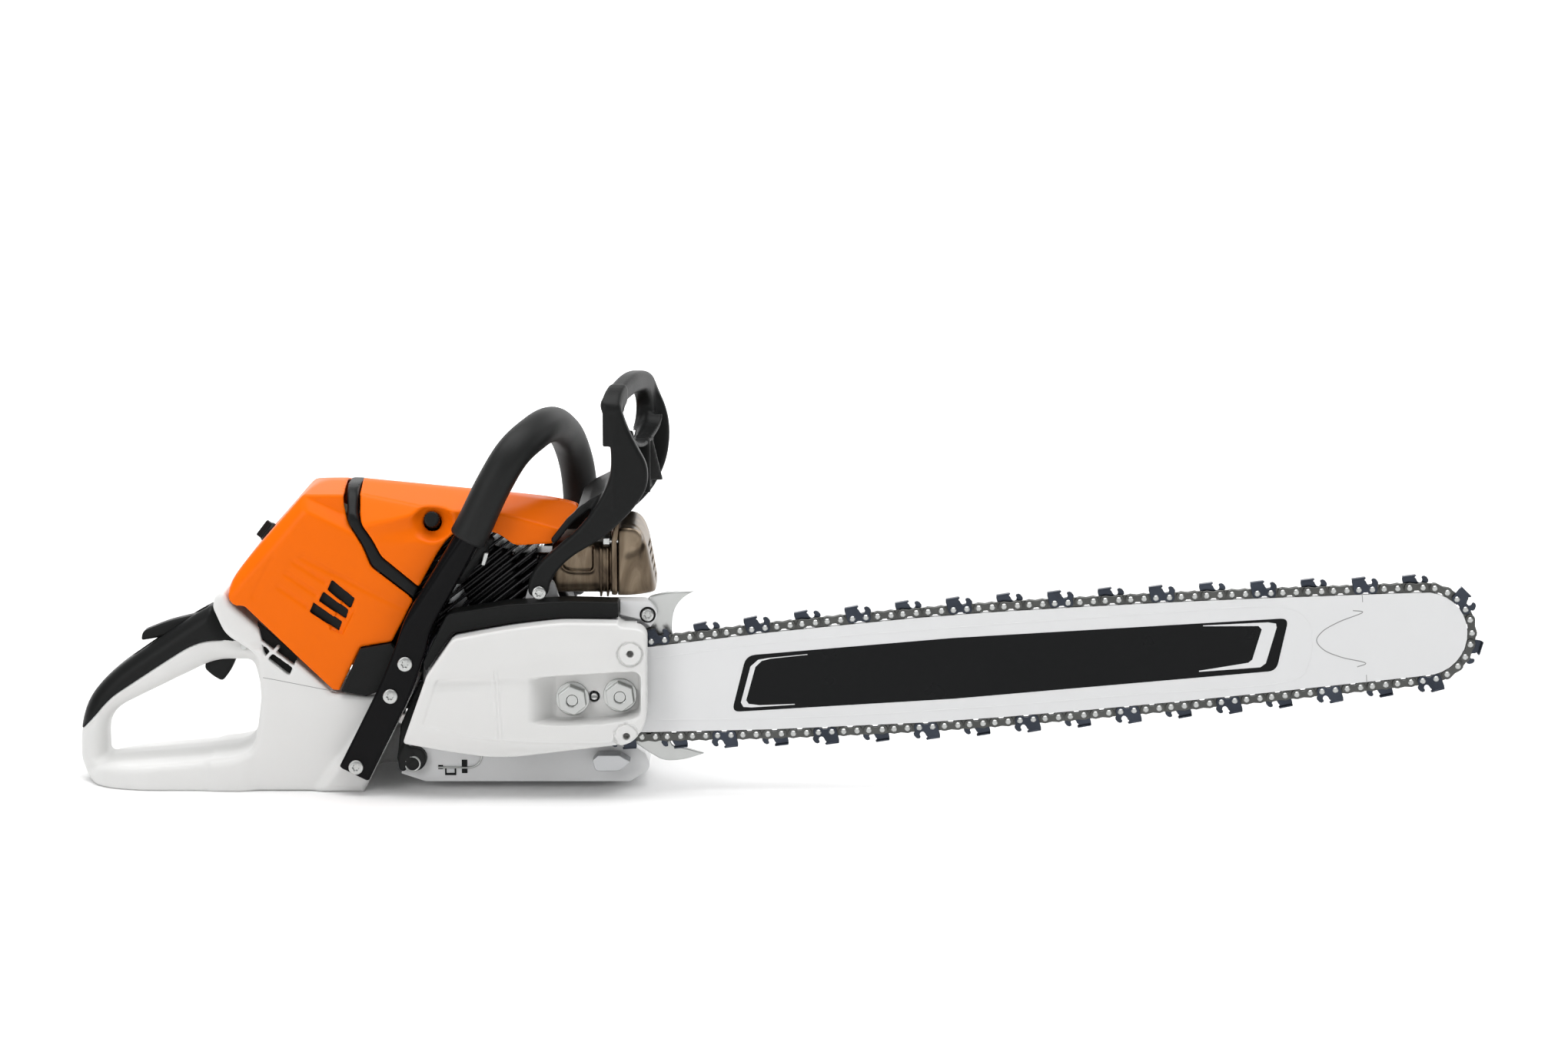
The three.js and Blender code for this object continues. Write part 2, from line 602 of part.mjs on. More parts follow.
// ---- clutch, sprocket and chain brake ----
function clutchHub() {
  const carrier = cut(disc(0, CRANK_Z, 12, -74, -62, 6), disc(0, CRANK_Z, 8 + GAP, -80, -55, 20));
  const shoes = cut(disc(0, CRANK_Z, 27, -73, -62.5, 28), disc(0, CRANK_Z, 16, -75, -60, 20));
  const spokes = [0, 120, 240].map((angle) => tilted(
    box(8.6, 20, -72, -63, CRANK_Z - 5, CRANK_Z + 5),
    angle,
  ));
  return cut(join(carrier, shoes, ...spokes), disc(0, CRANK_Z, 8 + GAP, -80, -55, 20));
}

function clutchDrum() {
  return turned([
    [8.5, BAR_Y + 5.5], [RIM_RADIUS, BAR_Y + 5.5], [RIM_RADIUS, BAR_Y + 1.2], [13.5, BAR_Y + 1.2],
    [13.5, BAR_Y - 1.2], [RIM_RADIUS, BAR_Y - 1.2], [RIM_RADIUS, BAR_Y - 5.5], [14, BAR_Y - 5.5],
    [14, -58.5], [DRUM_RADIUS, -58.5], [DRUM_RADIUS, -75], [DRUM_RADIUS - 2, -75],
    [DRUM_RADIUS - 2, -61], [8.5, -61],
  ], 0, CRANK_Z, 24);
}

function brakeBand() {
  const band = cut(
    disc(0, CRANK_Z, DRUM_RADIUS + 2, -74, -61, 28),
    disc(0, CRANK_Z, DRUM_RADIUS + 0.8, -80, -55, 28),
  );
  const opening = box(20, 50, -80, -55, CRANK_Z - 14, CRANK_Z + 8);
  const tail = box(-6, 6, -74, -61, CRANK_Z + DRUM_RADIUS + 0.9, CRANK_Z + DRUM_RADIUS + 7);
  return join(cut(band, opening), tail);
}

function brakeSpring() {
  return rod([8, -67.5, 111], [44, -67.5, 116], 3.5, 12);
}

function oilPump() {
  const body = disc(0, CRANK_Z, 19, CASE_RIGHT + 0.5, CASE_RIGHT + 9, 24);
  return cut(body, disc(0, CRANK_Z, 8 + GAP, -50, -20, 20));
}

// ---- guide bar and chain ----
function barPoint(u, v) {
  const tilt = degrees(BAR_TILT);
  return [u * Math.cos(tilt) - v * Math.sin(tilt), CRANK_Z + u * Math.sin(tilt) + v * Math.cos(tilt)];
}

// Half widths of the bar at stations along it, blended by a smooth curve.
const BAR_PROFILE = new THREE.SplineCurve([
  [110, 31.4], [230, 37], [360, 39.4], [520, 36.8], [640, 32.7], [BAR_NOSE_U + 3, BAR_NOSE_RADIUS],
].map(([u, v]) => new THREE.Vector2(u, v)));

function barRail(steps) {
  return BAR_PROFILE.getPoints(steps).map((point) => [point.x, point.y]);
}

function arc(u, v, radius, from, to, steps) {
  const points = [];
  for (let i = 0; i <= steps; i += 1) {
    const angle = degrees(from + ((to - from) * i) / steps);
    points.push([u + radius * Math.cos(angle), v + radius * Math.sin(angle)]);
  }
  return points;
}

const tiltedPoints = (points) => points.map(([u, v]) => barPoint(u, v));

function barOutline(inset) {
  const rail = barRail(12).map(([u, v]) => [u, v - inset]);
  const nose = arc(BAR_NOSE_U, 0, BAR_NOSE_RADIUS - inset, 80, -80, 14);
  const under = rail.slice(0, -1).reverse().map(([u, v]) => [u, -v]);
  return [
    [BAR_TAIL_U + inset, -14], [BAR_TAIL_U + inset, 14], [66, 26 - inset], ...rail.slice(0, -1),
    ...nose, ...under, [66, -26 + inset],
  ];
}

function guideBar() {
  const half = BAR_THICKNESS / 2;
  const plate = across(tiltedPoints(barOutline(0)), BAR_Y - half, BAR_Y + half);
  const groove = across(tiltedPoints([[-60, -90], [-60, 90], [800, 90], [800, -90]]),
    BAR_Y - GROOVE_WIDTH / 2, BAR_Y + GROOVE_WIDTH / 2)
    .subtract(across(tiltedPoints(barOutline(GROOVE_DEPTH)), BAR_Y - 4, BAR_Y + 4));
  const nose = barPoint(BAR_NOSE_U, 0);
  const pocket = cut(
    disc(nose[0], nose[1], 26, BAR_Y - GROOVE_WIDTH / 2, BAR_Y + GROOVE_WIDTH / 2, 32),
    disc(nose[0], nose[1], 8, BAR_Y - 3, BAR_Y + 3, 20),
  );
  const slotOutline = [[50, -5.5], [50, 5.5], [110, 5.5], [110, -5.5]];
  const slot = across(tiltedPoints(slotOutline), BAR_Y - 5, BAR_Y + 5);
  const tensionHole = disc(...barPoint(98, 20), 3.5, BAR_Y - 5, BAR_Y + 5, 12);
  return cut(plate, groove, pocket, slot, tensionHole);
}

function noseSprocket() {
  const [x, z] = barPoint(BAR_NOSE_U, 0);
  const teeth = [];
  const step = 360 / NOSE_TEETH;
  for (let i = 0; i < NOSE_TEETH; i += 1) {
    teeth.push(...arc(0, 0, 25, step * i + 6, step * i + 14, 1));
    teeth.push(...arc(0, 0, 19.5, step * (i + 0.5) + 6, step * (i + 0.5) + 14, 1));
  }
  const wheel = across(teeth.reverse().map(([a, b]) => [x + a, z + b]), BAR_Y - 0.7, BAR_Y + 0.7);
  return wheel.subtract(disc(x, z, 8.3, BAR_Y - 3, BAR_Y + 3, 20));
}

// The closed path of the chain's underside, set out from the rails by an offset.
function chainPath(offset) {
  const upper = barRail(12).map(([u, v]) => [u, v + offset]).slice(0, -1);
  const nose = arc(BAR_NOSE_U, 0, BAR_NOSE_RADIUS + offset, 80, -80, 14);
  const lower = upper.slice().reverse().map(([u, v]) => [u, -v]);
  const wrap = arc(0, 0, RIM_RADIUS + offset, 263, 97, 16);
  return [...upper, ...nose, ...lower, ...wrap];
}

// Walks the chain path and raises a tooth on every second drive link.
function toothedPath(offset) {
  const path = chainPath(offset).map(([u, v]) => new THREE.Vector2(u, v));
  const lengths = path.map((point, i) => point.distanceTo(path[(i + 1) % path.length]));
  const total = lengths.reduce((sum, length) => sum + length, 0);
  const spacing = total / (DRIVE_LINKS / 2);
  const at = (distance, height) => {
    let rest = ((distance % total) + total) % total;
    let i = 0;
    while (rest > lengths[i]) {
      rest -= lengths[i];
      i += 1;
    }
    const direction = path[(i + 1) % path.length].clone().sub(path[i]).normalize();
    const point = path[i].clone().addScaledVector(direction, rest);
    return [point.x - direction.y * height, point.y + direction.x * height];
  };
  const points = [];
  for (let i = 0; i < DRIVE_LINKS / 2; i += 1) {
    const start = FIRST_CUTTER + spacing * i;
    points.push(at(start, 0), at(start, CUTTER_HEIGHT), at(start + CUTTER_LENGTH * 0.45, CUTTER_HEIGHT));
    points.push(at(start + CUTTER_LENGTH * 0.6, 1.5), at(start + CUTTER_LENGTH, CUTTER_HEIGHT * 0.8));
    points.push(at(start + CUTTER_LENGTH, 0), at(start + spacing * 0.7, 0));
  }
  return points;
}

function sawChain() {
  const half = CHAIN_WIDTH / 2;
  const links = across(tiltedPoints(toothedPath(CHAIN_STRAP_HEIGHT + GAP)), BAR_Y - half, BAR_Y + half);
  const inside = across(tiltedPoints(chainPath(GAP)), BAR_Y - 5, BAR_Y + 5);
  const tangs = across(tiltedPoints(chainPath(GAP + 1)), BAR_Y - 0.7, BAR_Y + 0.7)
    .subtract(across(tiltedPoints(chainPath(-CHAIN_TANG_DEPTH)), BAR_Y - 2, BAR_Y + 2));
  return join(cut(links, inside), tangs);
}

const TENSIONER = barPoint(78, 0);

function chainTensioner() {
  const [x, z] = TENSIONER;
  const screw = disc(x, z, 2.6, -61, -32, 12);
  return screw.subtract(box(x - 3, x + 3, -62, -59.5, z - 0.5, z + 0.5));
}

function barFastening() {
  STUD_U.forEach((u, i) => {
    const [x, z] = barPoint(u, 0);
    const which = ['rear', 'front'][i];
    const stud = join(disc(x, z, 4, -70, -24, 16), disc(x, z, 5, -53, CASE_RIGHT - GAP, 16));
    piece(`bar_stud_${which}`, stud, STEEL);
    const nut = join(disc(x, z, 11, -71, -63, 6), disc(x, z, 12.5, -63.5, -60.5, 24));
    piece(`bar_nut_${which}`, cut(nut, disc(x, z, 4 + GAP, -80, -50, 16)), STEEL);
  });
  piece('chain_tensioner', chainTensioner(), STEEL);
}

function barAndChain() {
  piece('clutch_hub', clutchHub(), DARK_STEEL);
  piece('clutch_drum', clutchDrum(), STEEL);
  piece('brake_band', brakeBand(), STEEL);
  piece('brake_spring', brakeSpring(), STEEL);
  piece('oil_pump', oilPump(), ALUMINIUM);
  piece('guide_bar', guideBar(), WHITE);
  piece('nose_sprocket', noseSprocket(), DARK_STEEL);
  piece('saw_chain', sawChain(), DARK_STEEL);
  barFastening();
}

// ---- right-hand covers, spikes and guards ----
function sprocketCover() {
  const outer = across([
    [-24, 120], [17, 128], [55, 132], [96, 131.5], [98, 129], [112, 128, 4], [117, 123, 3], [117, 62],
    [110, 47, 6], [103, 42], [54, 35.5], [10, 30.3], [-22, 34], [-62, 42, 4], [-43, 92],
  ], -82, -44);
  const clutchRoom = across([
    [-22, 117], [17, 125], [50, 128], [50, 36.6], [10, 32], [-22, 36], [-58, 44], [-40, 92],
  ], -78, -40);
  const sole = across([[14, 28.6], [54, 29.4], [90, 30.2], [90, 44], [54, 38], [14, 34]], -60, -44);
  const chainRoom = across([
    [20, 124], [50, 128], [114, 128], [130, 124], [130, 50], [114, 28], [92, 31.9], [54, 31.6],
    [18, 31],
  ], -57, -40);
  const recess = across([[50, 91], [109, 95, 6], [113, 78], [110, 63, 6], [92, 57], [50, 56]], -90, -60);
  const shoulder = box(112, 130, -90, -74, 20, 140);
  const studHoles = STUD_U.map((u) => {
    const [x, z] = barPoint(u, 0);
    return disc(x, z, 4 + GAP, -90, -40, 16);
  });
  const tensionHole = disc(...TENSIONER, 3.6, -90, -40, 12);
  const screwBosses = [disc(105, 109, 2.5, -90, -80, 12), disc(102, 48, 2.5, -90, -80, 12)];
  return cut(join(outer, sole), clutchRoom, chainRoom, recess, shoulder, tensionHole, ...studHoles,
    ...screwBosses);
}

function brakeSideCover() {
  return across([
    [-47, 100], [-29, 136, 4], [15, 143], [60, 145.5], [96, 144.5], [96, 133], [55, 133], [17, 129],
    [-25.5, 121.4], [-44.6, 93],
  ], -66, CASE_RIGHT - GAP);
}

function bumperSpike() {
  return across([
    [104 + GAP, 112], [118, 117], [128, 130], [124, 144], [134, 147], [151, 149], [140, 141, 4],
    [135, 128, 4], [137, 112], [148, 110], [136, 98], [134, 84], [146, 80], [134, 70], [132, 54],
    [144, 50], [132, 40], [133, 32], [145, 31], [159, 27], [143, 22, 4], [128, 21], [118, 28],
    [104 + GAP, 36],
  ], CASE_RIGHT + 1, CASE_RIGHT + 4);
}

function chainCatcher() {
  const side = [[76, 25], [78, 17, 3], [96, 17, 3], [104, 24], [96, 29], [80, 29]];
  return across(side, -58, CASE_RIGHT - GAP);
}

function rightGuardLeg() {
  return across([
    [44, 147, 3], [47, 160, 8], [58, 174, 8], [83, 189, 10], [96, 200, 10], [108, 212, 10],
    [117, 226, 10], [117, 246, 10], [103, 272], [97, 289, 4], [84, 291, 4], [91, 262, 10],
    [91, 240, 10], [84, 221, 10], [70, 199, 10], [36, 170, 10], [30, 156, 8], [30, 147, 3],
  ], -58, -46);
}

function leftGuardLeg() {
  return across([
    [44, 147, 3], [50, 158, 8], [66, 172, 8], [92, 186, 10], [112, 203, 10], [122, 217, 10],
    [130, 236, 12], [131, 260, 14], [125, 281, 10], [113, 297, 6], [100, 292, 4], [108, 272, 8],
    [104, 250, 8], [97, 232, 10], [84, 212, 10], [70, 199, 10], [36, 170, 10], [30, 156, 8], [30, 147, 3],
  ], 58, 66);
}

// The hoop's band and web span the legs, further forwards on the left side.
function guardHoop() {
  const band = lengthwise([
    [-58, 284], [-57, 291, 8], [-40, 298, 14], [0, 304.5, 30], [30, 304, 20], [58, 298, 10], [66, 286],
    [50, 287, 10], [10, 289, 20], [-40, 286],
  ], 84, 99);
  const web = lengthwise([[-56, 214], [-56, 258], [64, 258], [64, 214]], 96, 104);
  const lean = new THREE.Matrix4().makeShear(0, 0, GUARD_LEAN, 0, 0, 0);
  const back = new THREE.Matrix4().makeTranslation(GUARD_LEAN * 52, 0, 0);
  return join(band, web).transform(back.multiply(lean).elements);
}

function handGuard() {
  const saddle = across([[67, 203], [80, 205], [94, 214], [86, 222], [73, 214]], -50, 62);
  const pivot = disc(...GUARD_PIVOT, 3, -90, 90, 16);
  return cut(join(rightGuardLeg(), leftGuardLeg(), guardHoop(), saddle), pivot);
}

// Rubber plug in the crankcase with an arm that reaches up between the tank and the sprocket cover.
function vibrationBuffer() {
  const plug = disc(-56, 24, 9, -50, -22, 20);
  const arm = across([
    [-68.5, 26], [-67.5, 16, 3], [-63, 14.5, 3], [-57, 21], [-62.4, 37], [-62.4, 42], [-53, 68.5],
    [-52, 75], [-54.4, 76], [-69.5, 45],
  ], -50, -44.5);
  return join(plug, arm);
}

function rightSide() {
  piece('sprocket_cover', sprocketCover(), WHITE);
  piece('brake_side_cover', brakeSideCover(), BLACK);
  piece('bumper_spike', bumperSpike(), STEEL);
  piece('chain_catcher', chainCatcher(), ALUMINIUM);
  piece('hand_guard', handGuard(), BLACK);
  const pivotScrew = join(
    disc(...GUARD_PIVOT, 2.5, -60, -36, 12),
    disc(...GUARD_PIVOT, 5, -61.5, -58 - GAP, 16),
  );
  piece('guard_pivot_screw_right', pivotScrew, STEEL);
  const earScrew = join(disc(117, 133, 3, -54, -36, 12), disc(117, 133, 5.4, -55.5, -52 - GAP, 16));
  piece('case_screw', earScrew, STEEL);
  piece('vibration_buffer', vibrationBuffer(), RUBBER);
}

// ---- left side ----
function starterCover() {
  const top = across([
    [-62, 90], [62, 90], [56, 134, 12], [44, 143], [-24, 150, 12], [-48, 120],
  ], CASE_LEFT + GAP, 84);
  const round = rod([0, CASE_LEFT + GAP, CRANK_Z], [0, 84, CRANK_Z], 67.6, 36, 62);
  const lug = box(28, 50, 68.5, 80, 138, 159);
  const outer = cut(join(top, round, lug), box(24, 52, 55, 68.5, 141, 170));
  const room = disc(0, CRANK_Z, 65, 20, 66, 32);
  const post = disc(0, CRANK_Z, 6, 67, 83, 16);
  const pivotHole = disc(...GUARD_PIVOT, 2.8, 60, 90, 12);
  const reel = disc(0, CRANK_Z, 32, 60, 80, 32);
  const vents = [];
  for (let i = -3; i <= 3; i += 1) {
    const half = 46 - Math.abs(i) * 4;
    const height = CRANK_Z + i * 12;
    vents.push(box(-half, half, 82, 90, height - 2.5, height + 2.5));
  }
  const moduleRoom = box(-26, 26, 20, 52, 120, 144);
  const gripSocket = rod([-14, 74, 130], [-14, 74, 160], 4, 12);
  return join(cut(outer, room, reel, moduleRoom, gripSocket, pivotHole, ...vents), post);
}

function starterPulley() {
  return turned([
    [6.3, 67.5], [29, 67.5], [29, 69], [25, 70], [25, 76], [29, 77], [29, 78.5], [6.3, 78.5],
  ], 0, CRANK_Z, 28);
}

function starterGrip() {
  const bar = rod([-44, 74, 160], [16, 74, 160], 7, 12);
  return join(bar, rod([-14, 74, 140], [-14, 74, 158], 3.5, 12));
}

function cap(x, z, radius, y0, y1) {
  const grip = box(x - radius * 0.7, x + radius * 0.7, y1 - 1, y1 + 5, z - 2, z + 2);
  return join(disc(x, z, radius, y0, y1, 24), grip);
}

function leftSide() {
  piece('starter_cover', starterCover(), BLACK);
  piece('starter_pulley', starterPulley(), BLACK);
  piece('starter_grip', starterGrip(), BLACK);
  const farPivot = join(disc(...GUARD_PIVOT, 2.5, 57, 82, 12), disc(...GUARD_PIVOT, 5, 80 + GAP, 83, 16));
  piece('guard_pivot_screw_left', farPivot, STEEL);
  piece('fuel_cap', cap(-125, 40, 17.5, TANK_LEFT - 18, TANK_LEFT), BLACK);
  piece('oil_cap', cap(86, 50, 13.5, CASE_LEFT - 14, CASE_LEFT), BLACK);
  piece('stop_switch', box(-190, -178, TANK_LEFT - 3, TANK_LEFT + 4, 118, 126), BLACK);
}

handleUnit();
covers();
engine();
barAndChain();
rightSide();
leftSide();

export default saw;
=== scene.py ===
"""Looks of a petrol chainsaw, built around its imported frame. Metres, in the frame's own axes:
+X along the guide bar, +Y to the saw's left side, +Z up, Z = 0 the ground.
Shapes are written in millimetres and scaled when their mesh is made."""
import json
import math

import bmesh
import bpy
import numpy as np
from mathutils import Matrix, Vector


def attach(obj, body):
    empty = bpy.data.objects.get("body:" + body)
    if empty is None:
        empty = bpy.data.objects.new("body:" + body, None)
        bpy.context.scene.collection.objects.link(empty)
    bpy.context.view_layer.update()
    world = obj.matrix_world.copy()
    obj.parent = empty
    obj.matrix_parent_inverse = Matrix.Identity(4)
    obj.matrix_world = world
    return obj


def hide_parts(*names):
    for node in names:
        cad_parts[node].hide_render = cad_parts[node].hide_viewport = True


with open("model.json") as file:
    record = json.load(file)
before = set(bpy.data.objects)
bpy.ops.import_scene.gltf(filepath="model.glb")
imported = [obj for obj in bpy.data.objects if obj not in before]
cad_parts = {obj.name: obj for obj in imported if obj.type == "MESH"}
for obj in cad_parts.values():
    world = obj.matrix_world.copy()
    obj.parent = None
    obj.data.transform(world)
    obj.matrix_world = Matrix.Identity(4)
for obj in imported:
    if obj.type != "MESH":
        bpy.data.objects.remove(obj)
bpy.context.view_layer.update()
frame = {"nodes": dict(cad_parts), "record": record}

MM = 0.001
CRANK_Z = 68                          # height of the clutch drum's centre, which is at x = 0
BAR_Y = -48                           # middle plane of the guide bar
BAR_TILT = math.radians(4.18)         # rise of the guide bar towards its nose
BEYOND = 60                           # past the faces of the tank and the covers along Y
GUARD_PIVOT = (38, 150.5)             # side-view places of axes that several pieces share
TRIGGER_PIVOT = (-184, 103)
EAR_SCREW = (117, 133)
FUEL_FILLER = (-125, 40)
OIL_FILLER = (86, 50)

# ---- materials ----
GRAIN_DEPTH = 0.0002
COAT_ROUGHNESS = 0.08
LEAST_ROUGHNESS = 0.02


def set_inputs(tree, node, inputs):
    """Gives a node's inputs their values, or links where the value is another node's output."""
    for socket, value in inputs.items():
        if isinstance(value, bpy.types.NodeSocket):
            tree.links.new(value, node.inputs[socket])
        else:
            node.inputs[socket].default_value = value
    return node


def add_node(tree, kind, inputs):
    return set_inputs(tree, tree.nodes.new("ShaderNode" + kind), inputs)


def new_material(name, colour, roughness, metallic=0.0):
    material = bpy.data.materials.new(name)
    material.use_nodes = True
    tree = material.node_tree
    shader = tree.nodes["Principled BSDF"]
    set_inputs(tree, shader, {
        "Base Color": (*colour, 1), "Roughness": roughness, "Metallic": metallic,
    })
    return material, tree, shader


def object_place(tree, scale):
    place = add_node(tree, "TexCoord", {}).outputs["Object"]
    return add_node(tree, "Mapping", {"Scale": scale, "Vector": place}).outputs["Vector"]


def noise(tree, place, inputs):
    return add_node(tree, "TexNoise", {**inputs, "Vector": place}).outputs["Fac"]


def ranged(tree, value, limits):
    return add_node(tree, "MapRange", {**limits, "Value": value}).outputs["Result"]


def shade(tree, shader, patches, stops, roughness, grain, bump):
    """Colour and gloss that follow the patches, and a fine grain in relief."""
    tint = add_node(tree, "ValToRGB", {"Fac": patches})
    elements = tint.color_ramp.elements
    for element, (position, colour) in zip(elements, (stops[0], stops[-1])):
        element.position = position
        element.color = (*colour, 1)
    for position, colour in stops[1:-1]:
        elements.new(position).color = (*colour, 1)
    gloss = ranged(tree, patches, {"To Min": roughness[0], "To Max": roughness[1]})
    relief = add_node(tree, "Bump", {"Strength": bump, "Distance": GRAIN_DEPTH, "Height": grain})
    set_inputs(tree, shader, {
        "Base Color": tint.outputs["Color"], "Roughness": gloss, "Normal": relief.outputs["Normal"],
    })


def surface(name, colour, roughness, metallic=0.0, grain=900.0, bump=0.1, mottle=0.06,
            rough_spread=0.08, coat=0.0, stretch=(1, 1, 1), specular=0.5):
    """Moulded, cast or ground surface, a little uneven in colour and gloss."""
    material, tree, shader = new_material(name, colour, roughness, metallic)
    set_inputs(tree, shader, {
        "Coat Weight": coat, "Specular IOR Level": specular, "Coat Roughness": COAT_ROUGHNESS,
    })
    place = object_place(tree, stretch)
    patches = noise(tree, place, {"Scale": 22, "Detail": 5})
    shades = [[min(1, c * share) for c in colour] for share in (1 - mottle, 1 + mottle)]
    limits = max(LEAST_ROUGHNESS, roughness - rough_spread), min(1, roughness + rough_spread)
    shade(tree, shader, patches, [(0.3, shades[0]), (0.7, shades[1])], limits,
          noise(tree, place, {"Scale": grain, "Detail": 3}), bump)
    return material


def heat_tinted(name):
    """Muffler steel: bronze heat tint in patches, drawn out along the pressing's height."""
    material, tree, shader = new_material(name, (0.2, 0.15, 0.1), 0.34, 1.0)
    place = object_place(tree, (1.6, 1, 0.35))
    patches = noise(tree, place, {"Scale": 38, "Detail": 6, "Distortion": 1.2})
    stops = [(0.32, (0.07, 0.052, 0.037)), (0.52, (0.19, 0.145, 0.1)), (0.72, (0.36, 0.29, 0.21))]
    shade(tree, shader, patches, stops, (0.24, 0.48), noise(tree, place, {"Scale": 700}), 0.08)
    return material


ORANGE = surface("orange_plastic", (0.88, 0.15, 0.0015), 0.34, grain=1400, bump=0.05,
                 mottle=0.015, rough_spread=0.03, specular=0.1)
WHITE = surface("white_plastic", (0.74, 0.74, 0.73), 0.42, grain=1500, bump=0.08, mottle=0.01,
                rough_spread=0.03)
CASTING = surface("painted_casting", (0.74, 0.745, 0.75), 0.45, grain=1000, bump=0.18, mottle=0.03)
BLACK = surface("black_plastic", (0.0085, 0.009, 0.009), 0.42, grain=1700, bump=0.3, mottle=0.1,
                specular=0.15)
GLOSS_BLACK = surface("gloss_black_paint", (0.005, 0.005, 0.0055), 0.2, grain=500, bump=0.03,
                      coat=0.03, specular=0.07)
RUBBER = surface("soft_rubber", (0.012, 0.0125, 0.0125), 0.5, grain=2200, bump=0.35, mottle=0.12,
                 specular=0.2)
STEEL = surface("zinc_steel", (0.52, 0.53, 0.52), 0.3, 1.0, bump=0.12, stretch=(1, 3, 1))
DARK_STEEL = surface("dark_steel", (0.1, 0.102, 0.098), 0.36, 1.0, bump=0.15, mottle=0.2)
BLUED_STEEL = surface("blued_steel", (0.048, 0.055, 0.07), 0.3, 1.0, grain=700, mottle=0.3)
ALUMINIUM = surface("cast_aluminium", (0.55, 0.56, 0.57), 0.42, 1.0, grain=800, bump=0.25)
BLACK_CASTING = surface("black_casting", (0.012, 0.012, 0.013), 0.28, 0.4, bump=0.2)
BRONZE = heat_tinted("tinted_steel")
BAR_WHITE = surface("white_painted_steel", (0.76, 0.765, 0.77), 0.3, bump=0.02, mottle=0.004,
                    rough_spread=0.01, coat=0.1)
FLEECE = surface("filter_fleece", (0.70, 0.65, 0.5), 0.9, grain=600, bump=0.6, stretch=(4, 1, 1))
# Flat black for painted shade: the pads behind the tank's vents and the ring round the ear's screw.
PAINTED_SHADE = surface("painted_shade_black", (0.014, 0.014, 0.014), 0.8, grain=700, bump=0.5, mottle=0.3,
               specular=0.1)
DECAL_BLACK = surface("decal_black", (0.006, 0.0065, 0.007), 0.3, grain=1200, bump=0.02,
                      mottle=0.02, specular=0.12)
SEAM_GREY = surface("seam_grey", (0.3, 0.3, 0.3), 0.5, grain=1200, bump=0.02)

SLOT_MATERIAL = {
    "orange_plastic": ORANGE, "white_plastic": WHITE, "painted_casting": CASTING,
    "black_plastic": BLACK, "gloss_black_paint": GLOSS_BLACK, "soft_rubber": RUBBER,
    "zinc_steel": STEEL, "dark_steel": DARK_STEEL, "cast_aluminium": ALUMINIUM,
    "black_casting": BLACK_CASTING, "tinted_steel": BRONZE, "white_painted_steel": BAR_WHITE,
    "filter_fleece": FLEECE,
}
NODE_SLOT = {part["node"]: part["material_slot"] for part in frame["record"]["subparts"]}
NODE_BODY = {
    node: body for body, nodes in frame["record"]["behaviour"]["bodies"].items() for node in nodes
}


# ---- pieces ----
WELD_WITHIN = 0.02 * MM
FLAT_WITHIN = math.radians(0.8)       # facets that bend less than this are one face
SHARP_FROM = math.radians(32)         # edges that bend more than this are rounded
BEVEL_SEGMENTS = 3
drawn_nodes = set()


def place_piece(mesh, name, node, replaces=True, material=None):
    """Puts a mesh on the body of a CAD node, usually in the material of that node's slot."""
    piece = bpy.data.objects.new(name, mesh)
    bpy.context.scene.collection.objects.link(piece)
    slot = NODE_SLOT[node]
    mesh.materials.clear()
    mesh.materials.append(material or SLOT_MATERIAL[slot])
    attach(piece, NODE_BODY[node])
    if replaces:
        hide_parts(node)
        drawn_nodes.add(node)
    return piece


def mesh_of(name, points, faces, smooth=True):
    """Mesh from points in millimetres."""
    mesh = bpy.data.meshes.new(name)
    mesh.from_pydata((np.asarray(points) * MM).tolist(), [], [list(face) for face in faces])
    mesh.polygons.foreach_set("use_smooth", [smooth] * len(mesh.polygons))
    mesh.update()
    return mesh


def edit_mesh(mesh, *operations):
    """Runs bmesh operations, each given as a function of the work mesh."""
    work = bmesh.new()
    work.from_mesh(mesh)
    for operation in operations:
        operation(work)
    work.to_mesh(mesh)
    work.free()
    return mesh


def outward_normals(work):
    bmesh.ops.recalc_face_normals(work, faces=work.faces)


def whole_faces(work):
    bmesh.ops.remove_doubles(work, verts=work.verts, dist=WELD_WITHIN)
    bmesh.ops.dissolve_limit(work, angle_limit=FLAT_WITHIN, verts=work.verts, edges=work.edges)


def soften(piece, bevel):
    """Rounds the sharp edges and keeps the flat faces flat."""
    for polygon in piece.data.polygons:
        polygon.use_smooth = True
    round_off = piece.modifiers.new("edges", "BEVEL")
    round_off.width = bevel * MM
    round_off.segments = BEVEL_SEGMENTS
    round_off.limit_method = "ANGLE"
    round_off.angle_limit = SHARP_FROM
    round_off.harden_normals = True
    round_off.use_clamp_overlap = True
    keep_flat = piece.modifiers.new("shading", "WEIGHTED_NORMAL")
    keep_flat.keep_sharp = True


def refined(node, bevel):
    """The CAD solid of a node with its facets merged into whole faces and its edges rounded."""
    mesh = frame["nodes"][node].data.copy()
    mesh.transform(frame["nodes"][node].matrix_world)
    soften(place_piece(edit_mesh(mesh, whole_faces), f"{node}_skin", node), bevel)


# ---- smooth solids ----
# A shape is an array of signed distances on a block of sample points, negative inside.
class Block:
    """Sample points of a box. A shape that doesn't vary along Y costs only an X-Z array."""

    def __init__(self, low, high, step):
        self.step = step
        self.low = np.array(low, dtype=float) - 2.5 * step
        count = np.ceil((np.array(high) - self.low) / step).astype(int) + 3
        self.shape = tuple(count)
        axes = [self.low[i] + step * np.arange(count[i]) for i in range(3)]
        self.x = axes[0][:, None, None]
        self.y = axes[1][None, :, None]
        self.z = axes[2][None, None, :]


